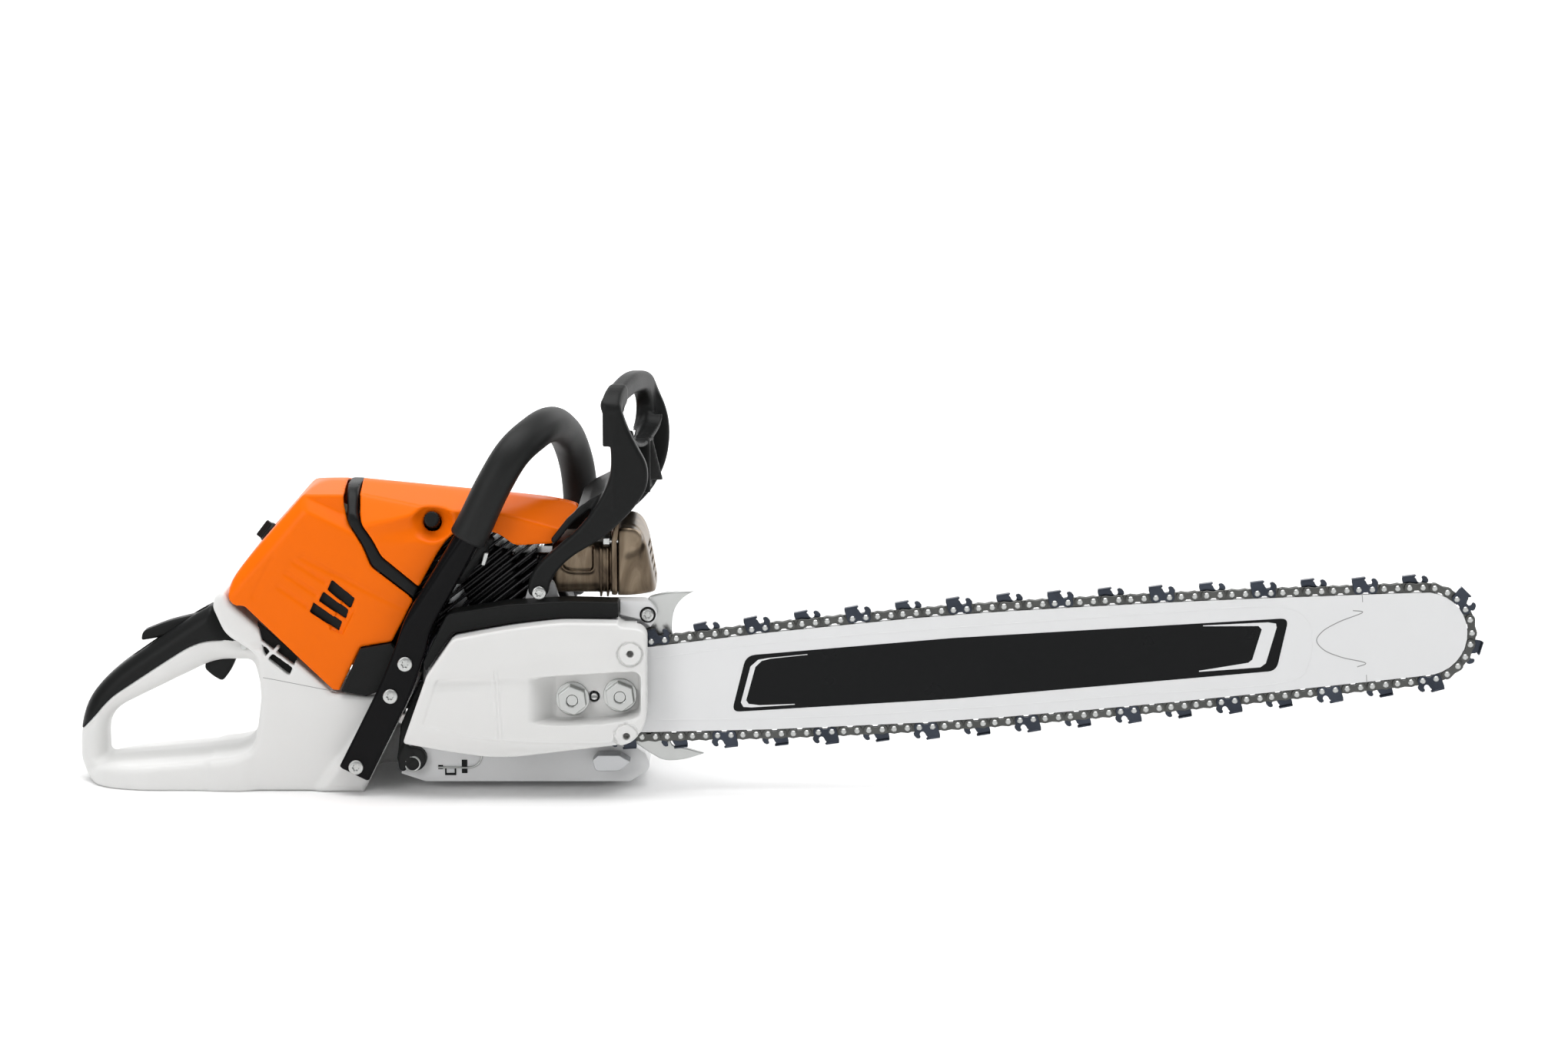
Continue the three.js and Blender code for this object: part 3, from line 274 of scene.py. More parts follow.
def merged(a, b, soft=0.0):
    """Union, with a fillet of about the given size."""
    if not soft:
        return np.minimum(a, b)
    share = np.clip(0.5 + 0.5 * (b - a) / soft, 0, 1)
    return b * (1 - share) + a * share - soft * share * (1 - share)


def common(a, b, soft=0.0):
    return -merged(-a, -b, soft)


def carved(a, b, soft=0.0):
    return common(a, -b, soft)


def side_view(block, centre):
    """Distance and angle of the sample points from an axis that runs along Y."""
    off_x, off_z = block.x - centre[0], block.z - centre[1]
    return np.hypot(off_x, off_z), np.arctan2(off_z, off_x)


def rectangle(low_a, low_b, high_a, high_b, *radius):
    """Outline of a rectangle, its corners rounded where a radius is given."""
    corners = (low_a, low_b), (high_a, low_b), (high_a, high_b), (low_a, high_b)
    return [(*corner, *radius) for corner in corners]


def rounded_corners(points, steps=5):
    """Points of a closed outline; a third number on a corner is its radius."""
    result = []
    count = len(points)
    for i, corner in enumerate(points):
        here = np.array(corner[:2], float)
        if len(corner) < 3:
            result.append(here)
            continue
        arms = []
        for other in (points[i - 1], points[(i + 1) % count]):
            arm = np.array(other[:2], float) - here
            length = np.hypot(*arm)
            arms.append(here + arm * min(corner[2], 0.49 * length) / length)
        for j in range(steps + 1):
            t = j / steps
            result.append((1 - t) ** 2 * arms[0] + 2 * t * (1 - t) * here + t * t * arms[1])
    return result


def flat_shape(points, a, b):
    """Distance to a closed outline in the plane of coordinates a and b."""
    corners = rounded_corners(points)
    squared = np.full(np.broadcast(a, b).shape, np.inf)
    inside = np.zeros(squared.shape, bool)
    for (a0, b0), (a1, b1) in zip(corners, corners[1:] + corners[:1]):
        run_a, run_b = a1 - a0, b1 - b0
        share = np.clip(((a - a0) * run_a + (b - b0) * run_b) / (run_a ** 2 + run_b ** 2), 0, 1)
        squared = np.minimum(squared, (a - a0 - share * run_a) ** 2 + (b - b0 - share * run_b) ** 2)
        if b0 != b1:
            inside ^= ((b0 <= b) != (b1 <= b)) & (a - a0 < (b - b0) / run_b * run_a)
    return np.where(inside, -1, 1) * np.sqrt(squared)


def slab(flat, across, low, high, edge=0.0):
    """A flat shape given thickness between two limits, with rounded rims."""
    reach = np.maximum(low - across, across - high) + edge
    flat = flat + edge
    outside = np.hypot(np.maximum(flat, 0), np.maximum(reach, 0))
    return outside + np.minimum(np.maximum(flat, reach), 0) - edge


def side_shape(block, points):
    """Distance to a side-view outline, as (x, z, radius)."""
    return flat_shape(points, block.x, block.z)


def prism(block, points, low, high, edge=0.0):
    """Side-view outline between two y values."""
    return slab(side_shape(block, points), block.y, low, high, edge)


def drum(block, x, z, radius, low, high, edge=0.0):
    return slab(side_view(block, (x, z))[0] - radius, block.y, low, high, edge)


def bar_between(block, start, end, radius):
    """Round bar with round ends."""
    start, end = np.array(start, float), np.array(end, float)
    run = end - start
    offsets = [block.x - start[0], block.y - start[1], block.z - start[2]]
    share = sum(offset * step for offset, step in zip(offsets, run)) / run.dot(run)
    share = np.clip(share, 0, 1)
    squared = sum((offset - share * step) ** 2 for offset, step in zip(offsets, run))
    return np.sqrt(squared) - radius


def below(block, point, normal, y=None):
    """Half space under a plane. Y may be mirrored by passing its absolute value."""
    normal = np.array(normal, float) / np.linalg.norm(normal)
    y = block.y if y is None else y
    return ((block.x - point[0]) * normal[0] + (y - point[1]) * normal[1]
            + (block.z - point[2]) * normal[2])


def ramp(value, start, end):
    """0 at start, 1 at end, with an easy curve between."""
    share = np.clip((value - start) / (end - start), 0, 1)
    return share * share * (3 - 2 * share)


CELL_CORNERS = np.array([(i, j, k) for i in (0, 1) for j in (0, 1) for k in (0, 1)])
CELL_EDGES = [(a, b) for a in range(8) for b in range(a + 1, 8)
              if abs(CELL_CORNERS[a] - CELL_CORNERS[b]).sum() == 1]


def skin_mesh(block, shape, name):
    """Mesh of the surface where the distance is zero: one point in each cell that it crosses."""
    shape = np.array(np.broadcast_to(shape, block.shape))
    for axis in range(3):
        for end in (0, -1):
            np.moveaxis(shape, axis, 0)[end] = block.step
    inside = shape < 0
    cells = tuple(n - 1 for n in block.shape)
    filled = sum(inside[i:cells[0] + i, j:cells[1] + j, k:cells[2] + k].astype(np.int8)
                 for i, j, k in CELL_CORNERS)
    where = np.argwhere((filled > 0) & (filled < 8))
    number = np.full(cells, -1, np.int32)
    number[tuple(where.T)] = np.arange(len(where))
    values = np.stack([shape[tuple((where + corner).T)] for corner in CELL_CORNERS], 1)
    total = np.zeros((len(where), 3))
    hits = np.zeros((len(where), 1))
    for a, b in CELL_EDGES:
        crossed = (values[:, a] < 0) != (values[:, b] < 0)
        difference = np.where(crossed, values[:, a] - values[:, b], 1)
        share = np.where(crossed, values[:, a] / difference, 0)[:, None]
        point = CELL_CORNERS[a] + share * (CELL_CORNERS[b] - CELL_CORNERS[a])
        total += point * crossed[:, None]
        hits += crossed[:, None]
    points = block.low + block.step * (where + total / hits)

    faces = []
    for axis in range(3):
        near = np.take(inside, range(block.shape[axis] - 1), axis)
        far = np.take(inside, range(1, block.shape[axis]), axis)
        edges = np.argwhere(near != far)
        outwards = near[tuple(edges.T)]
        ring = []
        for back_u, back_v in ((0, 0), (1, 0), (1, 1), (0, 1)):
            cell = edges.copy()
            cell[:, (axis + 1) % 3] -= back_u
            cell[:, (axis + 2) % 3] -= back_v
            ring.append(number[tuple(cell.T)])
        ring = np.stack(ring, 1)
        ring[~outwards] = ring[~outwards][:, ::-1]
        faces.append(ring)
    return mesh_of(name, points, np.concatenate(faces).tolist())


def moulded(block, shape, node, extra=None, material=None):
    """Piece that stands for its CAD node, or an extra one of its own name beside that piece."""
    name = extra or f"{node}_skin"
    place_piece(skin_mesh(block, shape, name), name, node, not extra, material)


# ---- handle unit ----
GRIP_HALF_WIDTH = 17
TANK_FACE = -50                       # y of the tank's right side
HANDLE_RIM = [
    (-150, 0), (-297, 0, 14), (-308, 12, 8), (-308.4, 36, 24), (-302, 62, 26), (-283, 83, 34),
    (-250, 106, 30), (-221, 125.5, 6), (-208, 132.5, 3), (-196, 113, 10), (-172, 102), (-150, 96),
]
HANDLE_WINDOW = [
    (-288, 18, 5), (-288, 44, 9), (-279, 56, 9), (-226, 82, 14), (-206, 91.5, 10), (-178, 91.5, 6),
    (-173, 73, 8), (-170.5, 55, 14), (-176, 34, 14), (-190, 26, 6),
]
GRIP_REGION = [
    (-312, 37), (-306, 39.5), (-298, 48, 6), (-284, 64, 8), (-250, 86.5, 12), (-222, 104.5, 14),
    (-203, 108, 10), (-184.5, 104), (-193, 110, 6), (-201, 119, 10), (-206, 134), (-206, 150),
    (-330, 150),
]
TANK_SIDE = [
    (-205, 0), (-93, 0), (-91, 4), (-55, 76), (-90, 71.5), (-115, 74), (-190, 140.5, 2),
    (-194, 149, 3), (-201, 146, 4), (-203, 137, 3), (-194, 116, 8), (-173, 104, 4), (-170, 98, 4),
    (-168, 70), (-173, 32, 14), (-188, 22, 10), (-205, 20),
]
SIDE_VENTS = [
    [(-170, 125.5), (-142, 100.5), (-143, 94), (-167, 112.5)],
    [(-167, 109.5), (-144.3, 92.8), (-146.8, 86.6), (-164.5, 101)],
]


def rear_handle(block):
    loop = carved(side_shape(block, HANDLE_RIM), side_shape(block, HANDLE_WINDOW), 3)
    return slab(loop, block.y, -GRIP_HALF_WIDTH, GRIP_HALF_WIDTH, 11.5)


def trigger_slots(block):
    trigger = prism(block, rectangle(-219, 72, -178, 111), -6.5, 6.5)
    lockout = prism(block, [(-268, 112), (-268, 76), (-212, 104), (-212, 134)], -6.5, 6.5)
    return merged(trigger, lockout)


def tank_housing():
    block = Block((-309, -54.5, 0), (-54, 106.5, 150), 1.35)
    x, y, z = block.x, block.y, block.z
    slope = (x + 134) * 0.8 - z * 0.6
    face = TANK_FACE - 3.7 * ramp(slope, 0, 9) + 4 * ramp(-slope, 58, 84) * ramp(z, 104, 112)
    tank = prism(block, TANK_SIDE, face, 48, 4.5)
    foot_side = [(-180, -3), (-300, -3, 16), (-303, 10, 8), (-290, 15.5, 8), (-180, 24.5)]
    foot_plan = [
        (-170, -49), (-272, -49, 30), (-304, -22, 24), (-304, 20, 24), (-272, 46, 30), (-170, 46),
    ]
    foot = common(side_shape(block, foot_side), flat_shape(foot_plan, x, y), 7)
    shape = merged(rear_handle(block), foot, 9)
    shape = merged(shape, tank, 9)
    for vent in SIDE_VENTS:
        opening = side_shape(block, vent)
        mullion = 1.3 - np.abs((x + 157.5) * 0.75 - (z - 103) * 0.66 + (vent[0][0] + 173) * 0.4)
        shape = carved(shape, slab(common(opening, mullion), y, -BEYOND, -38), 0.8)
    recess = [
        (-199, 140, 3), (-193, 144, 2), (-175, 125), (-163, 106), (-172, 107, 3), (-192, 119, 6),
    ]
    shape = carved(shape, prism(block, recess, -BEYOND, -46.5, 1), 2)
    arm = prism(block, [(-122, 2, 5), (-64, 2, 5), (-64, 30, 6), (-122, 30, 8)], 40, 106, 3)
    arm_plan = [
        (-122, 30), (-122, 48, 20), (-110, 76, 8), (-110, 106, 10), (-72, 106, 10), (-72, 76, 8),
        (-64, 52, 14), (-64, 30),
    ]
    arm = common(arm, flat_shape(arm_plan, x, y), 3)
    shape = merged(shape, arm, 8)
    shape = carved(shape, drum(block, 0, CRANK_Z, 73, 27, 120), 2)
    shape = carved(shape, drum(block, *FUEL_FILLER, 18, 24, 60), 1)
    shape = carved(shape, prism(block, rectangle(-196, 117.4, -177, 126.6), 44, 60))
    shape = carved(shape, trigger_slots(block), 1)
    grip = prism(block, GRIP_REGION, -BEYOND, BEYOND)
    shape = carved(shape, common(grip, below(block, (-200, 0, 0), (1, 0, 0))), 1.2)
    shape = common(shape, -z)
    moulded(block, shape, "tank_housing")


def grip_overlay():
    block = Block((-309, -18, 34), (-182, 18, 134), 0.9)
    shape = rear_handle(block) - 0.35
    region = prism(block, GRIP_REGION, -BEYOND, BEYOND)
    shape = common(shape, region, 1.4)
    shape = carved(shape, trigger_slots(block), 1)
    moulded(block, shape, "grip_overlay")


def small_controls():
    block = Block((-263, -6.2, 102), (-213, 6.2, 127), 0.6)
    lever = [
        (-218, 125.5, 2), (-241, 120, 8), (-261, 112, 4), (-262, 105, 2), (-244, 108, 6),
        (-220, 117),
        (-214, 121),
    ]
    moulded(block, prism(block, lever, -6, 6, 2), "throttle_lockout")
    block = Block((-217, -6.2, 72), (-178, 6.2, 109), 0.6)
    blade = [
        (-189, 98.5, 3), (-179.5, 98.5, 4), (-179.5, 107.5, 4), (-188.5, 107.5, 3), (-198, 100),
        (-213, 92, 2),
        (-215.5, 84, 3), (-209, 78, 4), (-202, 74, 3), (-195, 83, 8),
    ]
    trigger = carved(prism(block, blade, -6, 6, 1.8), drum(block, *TRIGGER_PIVOT, 2.8, -9, 9))
    moulded(block, trigger, "throttle_trigger")


tank_housing()
grip_overlay()
small_controls()


# ---- front handle ----
HANDLE_LEG = [(-98, -60, 18), (-82.5, -60, 49), (-67, -60, 81), (-56, -60, 110)]
HANDLE_TUBE = [
    (-50, -60, 128), (-30, -60, 163), (-11, -60, 196), (5, -58, 229), (19, -50, 252),
    (34, -24, 264), (43, 12, 265), (49, 50, 257), (54, 76, 244), (59, 93, 221), (61, 98, 192),
    (58, 98, 160), (48, 98, 122), (26, 98, 86), (-8, 98, 58), (-46, 97.5, 44), (-86, 95, 42),
]
SLEEVE_SPAN = (0.128, 0.7)            # stretch of the tube's length that the sleeve covers
SLEEVE_STEPS = 90
SLEEVE_LIMIT = 97.4                   # keeps the rounded sleeve inside the CAD's box
PER_SPAN = 8                          # points of a smooth path between two of its knots


def smooth_path(points, per_span=PER_SPAN):
    """Centripetal curve through the points."""
    knots = [np.array(point, float) for point in points]
    knots = [2 * knots[0] - knots[1]] + knots + [2 * knots[-1] - knots[-2]]
    result = []
    for a, b, c, d in zip(knots, knots[1:], knots[2:], knots[3:]):
        t1 = np.linalg.norm(b - a) ** 0.5
        t2 = t1 + np.linalg.norm(c - b) ** 0.5
        t3 = t2 + np.linalg.norm(d - c) ** 0.5
        for i in range(per_span):
            t = t1 + (t2 - t1) * i / per_span
            ab = ((t1 - t) * a + t * b) / t1
            bc = ((t2 - t) * b + (t - t1) * c) / (t2 - t1)
            cd = ((t3 - t) * c + (t - t2) * d) / (t3 - t2)
            abc = ((t2 - t) * ab + t * bc) / t2
            bcd = ((t3 - t) * bc + (t - t1) * cd) / (t3 - t1)
            result.append(((t2 - t) * abc + (t - t1) * bcd) / (t2 - t1))
    result.append(knots[-2])
    return np.array(result)


def stretch_of(path, start, end, steps):
    """Even points on the part of a path between two shares of its length."""
    lengths = np.concatenate([[0], np.cumsum(np.linalg.norm(np.diff(path, axis=0), axis=1))])
    wanted = np.linspace(start, end, steps) * lengths[-1]
    return np.stack([np.interp(wanted, lengths, path[:, i]) for i in range(3)], 1)


def swept_mesh(name, path, sizes, round_end=2.0, sides=48):
    """Tube along a path. Sizes are (half width, half depth, squareness) at each point;
    the depth starts along Y and the section is carried along without twisting."""
    cap_steps = 5
    count = len(path)
    tangents = np.gradient(path, axis=0)
    tangents /= np.linalg.norm(tangents, axis=1)[:, None]
    depth = np.array([0.0, 1.0, 0.0])
    rings = []
    turns = np.linspace(0, 2 * math.pi, sides, endpoint=False)
    for i in range(count):
        depth = depth - tangents[i] * depth.dot(tangents[i])
        depth /= np.linalg.norm(depth)
        width = np.cross(depth, tangents[i])
        stations = [(0.0, 0.0)]
        if i in (0, count - 1):
            outwards = -1 if i == 0 else 1
            stations = []
            for j in range(cap_steps + 1):
                angle = math.pi / 2 * j / cap_steps
                forward = outwards * round_end * math.sin(angle)
                stations.append((forward, round_end * (1 - math.cos(angle))))
            if i == 0:
                stations.reverse()
        half_width, half_depth, squareness = sizes[i]
        for forward, inset in stations:
            c, s = np.cos(turns), np.sin(turns)
            a = (half_width - inset) * np.sign(c) * np.abs(c) ** (2 / squareness)
            b = (half_depth - inset) * np.sign(s) * np.abs(s) ** (2 / squareness)
            rings.append(path[i] + forward * tangents[i] + a[:, None] * width + b[:, None] * depth)
    points = np.concatenate(rings + [[rings[0].mean(0)], [rings[-1].mean(0)]])
    faces = []
    for r in range(len(rings) - 1):
        for k in range(sides):
            after = (k + 1) % sides
            this_ring, next_ring = r * sides, (r + 1) * sides
            faces.append((this_ring + k, this_ring + after, next_ring + after, next_ring + k))
    first_centre = len(rings) * sides
    last_ring = (len(rings) - 1) * sides
    for k in range(sides):
        after = (k + 1) % sides
        faces.append((first_centre, after, k))
        faces.append((first_centre + 1, last_ring + k, last_ring + after))
    return edit_mesh(mesh_of(name, points, faces), outward_normals)


def front_handle():
    path = smooth_path(HANDLE_LEG + HANDLE_TUBE)
    stations = [0, 2, 3, 4.2, 6, len(HANDLE_LEG + HANDLE_TUBE)]
    keys = [(12, 6, 8), (11.8, 6, 8), (11, 6.2, 8), (10.4, 8, 4), (9.6, 9.5, 2.2), (9.5, 9.5, 2)]
    at = np.arange(len(path)) / PER_SPAN
    sizes = np.stack([np.interp(at, stations, [key[i] for key in keys]) for i in range(3)], 1)
    place_piece(swept_mesh("front_handle_skin", path, sizes), "front_handle_skin", "front_handle")
    block = Block((-108, 84, 30.5), (-74, 106, 44), 0.8)
    foot = [(-108, 30.5, 3), (-74, 30.5, 3), (-74, 44, 5), (-108, 44, 5)]
    moulded(block, prism(block, foot, 84, 106, 3), "front_handle", "front_handle_foot")


def handle_sleeve():
    path = stretch_of(smooth_path(HANDLE_TUBE), *SLEEVE_SPAN, SLEEVE_STEPS)
    path[:, 1] = np.minimum(path[:, 1], SLEEVE_LIMIT)
    thick = 13 + 0.8 * np.exp(-np.arange(SLEEVE_STEPS) / 6.0)
    sizes = [(radius, radius, 2.15) for radius in thick]
    sleeve = swept_mesh("handle_sleeve_skin", path, sizes, 3)
    place_piece(sleeve, "handle_sleeve_skin", "handle_sleeve")


front_handle()
handle_sleeve()


# ---- plastic covers ----
FILTER_COVER_SIDE = [
    (-106, 226.5), (-121, 227, 10), (-133, 223.5, 10), (-177, 173.5, 16), (-190.5, 155, 10),
    (-191, 144, 4), (-186, 139, 2), (-179, 139, 2), (-115, 76.3, 1), (-110, 76), (-94, 108.3),
    (-71, 112.3), (-55, 143, 1), (-58.5, 147), (-85.5, 168, 3), (-91.5, 183, 4), (-102.5, 201, 4),
    (-105.3, 212, 4),
]
SHROUD_SIDE = [
    (-95, 227), (-52, 223, 40), (17, 215.5, 20), (60, 209.3, 8), (66, 205, 5), (47, 184, 3),
    (19, 183, 4), (12, 189, 4), (5, 193, 6), (-23, 195, 8), (-34, 183, 8), (-50.5, 153, 2),
    (-78, 176, 3), (-84, 188, 4), (-93, 201, 4),
]
FRAME_SIDE = [
    (-104.8, 225), (-95.3, 225), (-95.3, 209, 2), (-93.3, 200, 3), (-84.4, 187.5, 3),
    (-78.4, 175.7, 2), (-50.8, 152.5), (-54.5, 145), (-58, 147.4), (-84.8, 168.4, 2),
    (-91, 183.3, 3), (-101.8, 201.2, 3),
]
COOLING_SLOTS = [
    [(-117.5, 151), (-114.2, 158.6), (-97.8, 144.6), (-101, 136.8)],
    [(-123.9, 142.8), (-120.6, 149.8), (-102.6, 135.8), (-104.8, 129.2)],
    [(-130.9, 134.6), (-127.8, 141.6), (-107.6, 127), (-110, 120.4)],
]
RELIEF_LINES = [
    [(-136, 175), (-60, 136)], [(-142, 172), (-119, 157)], [(-148, 163), (-126, 148)],
    [(-153, 153), (-133, 139)], [(-172, 146), (-157, 175)],
]


FILTER_COVER_SKIN = [
    (-40, 227.2), (-121, 227.2, 10), (-133, 223.5, 10), (-177, 173.5, 16), (-190.5, 155, 10),
    (-193, 135), (-193, 50), (-40, 50),
]
LOCK_AXIS = np.array((-0.795, 0, 0.606))      # the cover's lock turns about this
LOCK_CENTRE = np.array((-166, 0, 186))
COVER_WALL = 2.6
COVER_HALF_WIDTH = 50.4               # of the filter cover and the engine shroud, at their widest


def about_axis(block, centre, axis):
    """Distance along an axis from its centre, and distance away from it."""
    offset = [block.x - centre[0], block.y - centre[1], block.z - centre[2]]
    along = sum(o * a for o, a in zip(offset, axis))
    return along, np.sqrt(np.maximum(sum(o * o for o in offset) - along ** 2, 0))


def filter_cover():
    block = Block((-191, -50.6, 76), (-55, 50.6, 227.5), 1.1)
    x, z = block.x, block.z
    side = np.abs(block.y)
    wall = COVER_HALF_WIDTH - 1.6 * ((x + 120) / 70) ** 2 - 1.8 * ((z - 140) / 80) ** 2
    outer = slab(side_shape(block, FILTER_COVER_SKIN), side, -10, wall, 1.2)
    ridge = merged(below(block, (-133, 49.5, 208.3), (0.25, 0.8, 0.545), side), side - 42.3)
    outer = common(outer, ridge, 1.2)
    outer = common(outer, below(block, (-120, 42, 220.3), (0, 0.164, 0.986), side), 1.6)
    outer = common(outer, below(block, (-158.5, 50, 179.4), (-0.5, 0.75, 0.43), side), 3)
    along, away = about_axis(block, LOCK_CENTRE, LOCK_AXIS)
    outer = carved(outer, slab(away - 16, along, -4, 40), 1.2)
    for start, end in RELIEF_LINES:
        groove = bar_between(block, (start[0], -51.3, start[1]), (end[0], -51.3, end[1]), 2.0)
        outer = carved(outer, groove, 1.6)
    scoop = side_shape(block, [(-103, 150), (-93, 146), (-107, 118), (-117, 122)])
    scoop_floor = -COVER_HALF_WIDTH + 2.4 * ramp(z + 2.2 * x, -66, -94)
    outer = carved(outer, slab(scoop, block.y, -BEYOND, scoop_floor), 0.6)
    shape = common(carved(outer, outer + COVER_WALL), prism(block, FILTER_COVER_SIDE, -52, 52), 0.8)
    for slot in COOLING_SLOTS:
        shape = carved(shape, prism(block, slot, -BEYOND, -40), 0.8)
    shape = carved(shape, slab(away - 8.6, along, -40, 3), 0.6)
    moulded(block, shape, "filter_cover")


def filter_baffle():
    """Black inner wall that shows through the cooling slots."""
    block = Block((-146, -45.5, 104), (-86, -43, 168), 1.1)
    outline = [
        (-134, 166, 4), (-104, 166, 4), (-88, 142, 4), (-104, 110, 4), (-138, 126, 4),
        (-144, 142, 4),
    ]
    moulded(block, prism(block, outline, -45.4, -43.2), "cover_frame", "filter_baffle")


def bay_panel():
    """Black wall inside the engine bay, seen between the covers and the handle."""
    block = Block((-96, -26, 78), (-28, -23, 182), 1.3)
    outline = [(-92, 84), (-62, 84), (-44, 112), (-30, 138), (-30, 180), (-60, 180), (-92, 150)]
    moulded(block, prism(block, outline, -25.6, -23.4), "side_trim", "bay_panel")


def engine_shroud():
    block = Block((-96, -51, 152), (66.5, 51, 228), 1.1)
    x, z = block.x, block.z
    side = np.abs(block.y)
    wall = COVER_HALF_WIDTH - 6 * ramp(x, -45, 10) - 0.06 * np.maximum(x - 10, 0)
    wall = wall - 1.2 * ((z - 185) / 40) ** 2
    top = below(block, (-87, 0, 226.6), (0.097, 0.23, 1), side)
    top = common(top, z - 227.2 + 0.1 * (x + 95), 2)
    outer = common(side - wall, top, 1.6)
    outer = common(outer, below(block, (-90, 50, 199), (-0.116, 0.78, 0.62), side), 1.6)
    outer = common(outer, below(block, (53, 0, 213), (0.3125, 0.435, 1), side), 1.6)
    bowl = bar_between(block, (-40, -64, 202.5), (-39, -53.5, 201.5), 15)
    flare = bar_between(block, (-84, -66, 192), (-44, -61.5, 199), 15)
    outer = carved(outer, merged(bowl, flare, 5), 2)
    outer = carved(outer, bar_between(block, (-22, -66, 190), (-38, -63, 158), 15.5), 3)
    shape = common(carved(outer, outer + COVER_WALL), prism(block, SHROUD_SIDE, -52, 52), 0.8)
    shape = carved(shape, bar_between(block, (-40, -60, 207), (-41.4, -20, 193), 6.5), 0.6)
    moulded(block, shape, "engine_shroud")


def cover_frame():
    block = Block((-105, -49.5, 144), (-50, 49.5, 225), 1.0)
    side = np.abs(block.y)
    shape = prism(block, FRAME_SIDE, -48.6, 48.6, 1.2)
    shape = common(shape, below(block, (-100, 47, 207), (0.09, 0.7, 0.7), side), 3)
    shape = common(shape, below(block, (-100, 33, 221.5), (0.05, 0.3, 0.95), side), 4)
    shape = carved(shape, common(side - 37, block.z - 205))
    moulded(block, shape, "cover_frame")


def lock_knob():
    block = Block((-180, -9, 172), (-154, 9, 197), 0.55)
    along, away = about_axis(block, LOCK_CENTRE, LOCK_AXIS)
    across = (block.x - LOCK_CENTRE[0]) * LOCK_AXIS[2] - (block.z - LOCK_CENTRE[2]) * LOCK_AXIS[0]
    round_part = slab(away - 7.8, along, -12, 1.6, 1.2)
    wing = slab(np.maximum(np.abs(across) - 6.8, np.abs(block.y) - 2.2), along, -2, 6.4, 0.8)
    moulded(block, merged(round_part, wing, 1.6), "filter_cover_lock")


def valve_button():
    """Pressed to let some of the compression out before a start."""
    block = Block((-48, -46, 195), (-33, -26, 208), 0.5)
    axis = np.array((-0.0444, -0.948, 0.316))
    centre = np.array((-40.8, -41.5, 201.6))
    along, round_about = about_axis(block, centre, axis)
    angle = np.arctan2(block.z - centre[2], block.x - centre[0])
    knob = slab(round_about - 5.8 - 0.25 * np.cos(18 * angle), along, -4.5, 4.4, 1.2)
    stem = slab(round_about - 2.4, along, -14, 0)
    moulded(block, merged(knob, stem), "decompression_button")


filter_cover()
filter_baffle()
bay_panel()
engine_shroud()
cover_frame()
lock_knob()
valve_button()


# ---- hand guard ----
GUARD_LEAN = 0.2                      # the hoop comes forwards by this for each mm to the left
GUARD_RIGHT_LEG = [
    (44, 147, 5), (46.5, 160, 8), (58, 174.5, 12), (83, 189.5, 10), (97, 201, 10), (108, 213, 12),
    (117.5, 227, 12), (118, 244, 10), (110, 258, 10), (103, 272, 10), (97.5, 289, 2), (84, 291, 3),
    (90.5, 262, 14), (91.5, 240, 14), (84, 220, 14), (68, 198, 12), (36, 171, 12), (29.5, 158, 6),
    (30, 147, 5),
]
GUARD_LEFT_LEG = [
    (44, 147, 5), (50, 158, 8), (66, 172, 8), (92, 186, 10), (112, 203, 12), (122, 217, 12),
    (129.5, 236, 14), (131, 260, 14), (125, 281, 12), (113, 297, 8), (100, 292, 4), (108, 272, 8),
    (104, 250, 8), (97, 232, 10), (84, 212, 10), (70, 199, 10), (36, 170, 10), (30, 156, 8),
    (30, 147, 5),
]
HOOP_FRONT = [
    (-58, 212), (-58, 289, 7), (-44, 298, 14), (-2, 304.6, 34), (32, 304, 24), (58, 297.5, 12),
    (66, 286, 6), (66, 212),
]
HOOP_WINDOW = [
    (-46, 274, 12), (-40, 286, 12), (0, 290, 24), (38, 287.5, 14), (52, 276, 12), (46, 262, 14),
    (0, 252, 30), (-36, 259, 14),
]
SADDLE_LINE = [(68, 209), (76, 215.5), (86, 220.5), (98, 222)]


def flat_bar(block, start, end, radius):
    """Round-ended stroke in the side view."""
    run = np.array(end, float) - start
    off_x, off_z = block.x - start[0], block.z - start[1]
    share = np.clip((off_x * run[0] + off_z * run[1]) / run.dot(run), 0, 1)
    return np.hypot(off_x - share * run[0], off_z - share * run[1]) - radius


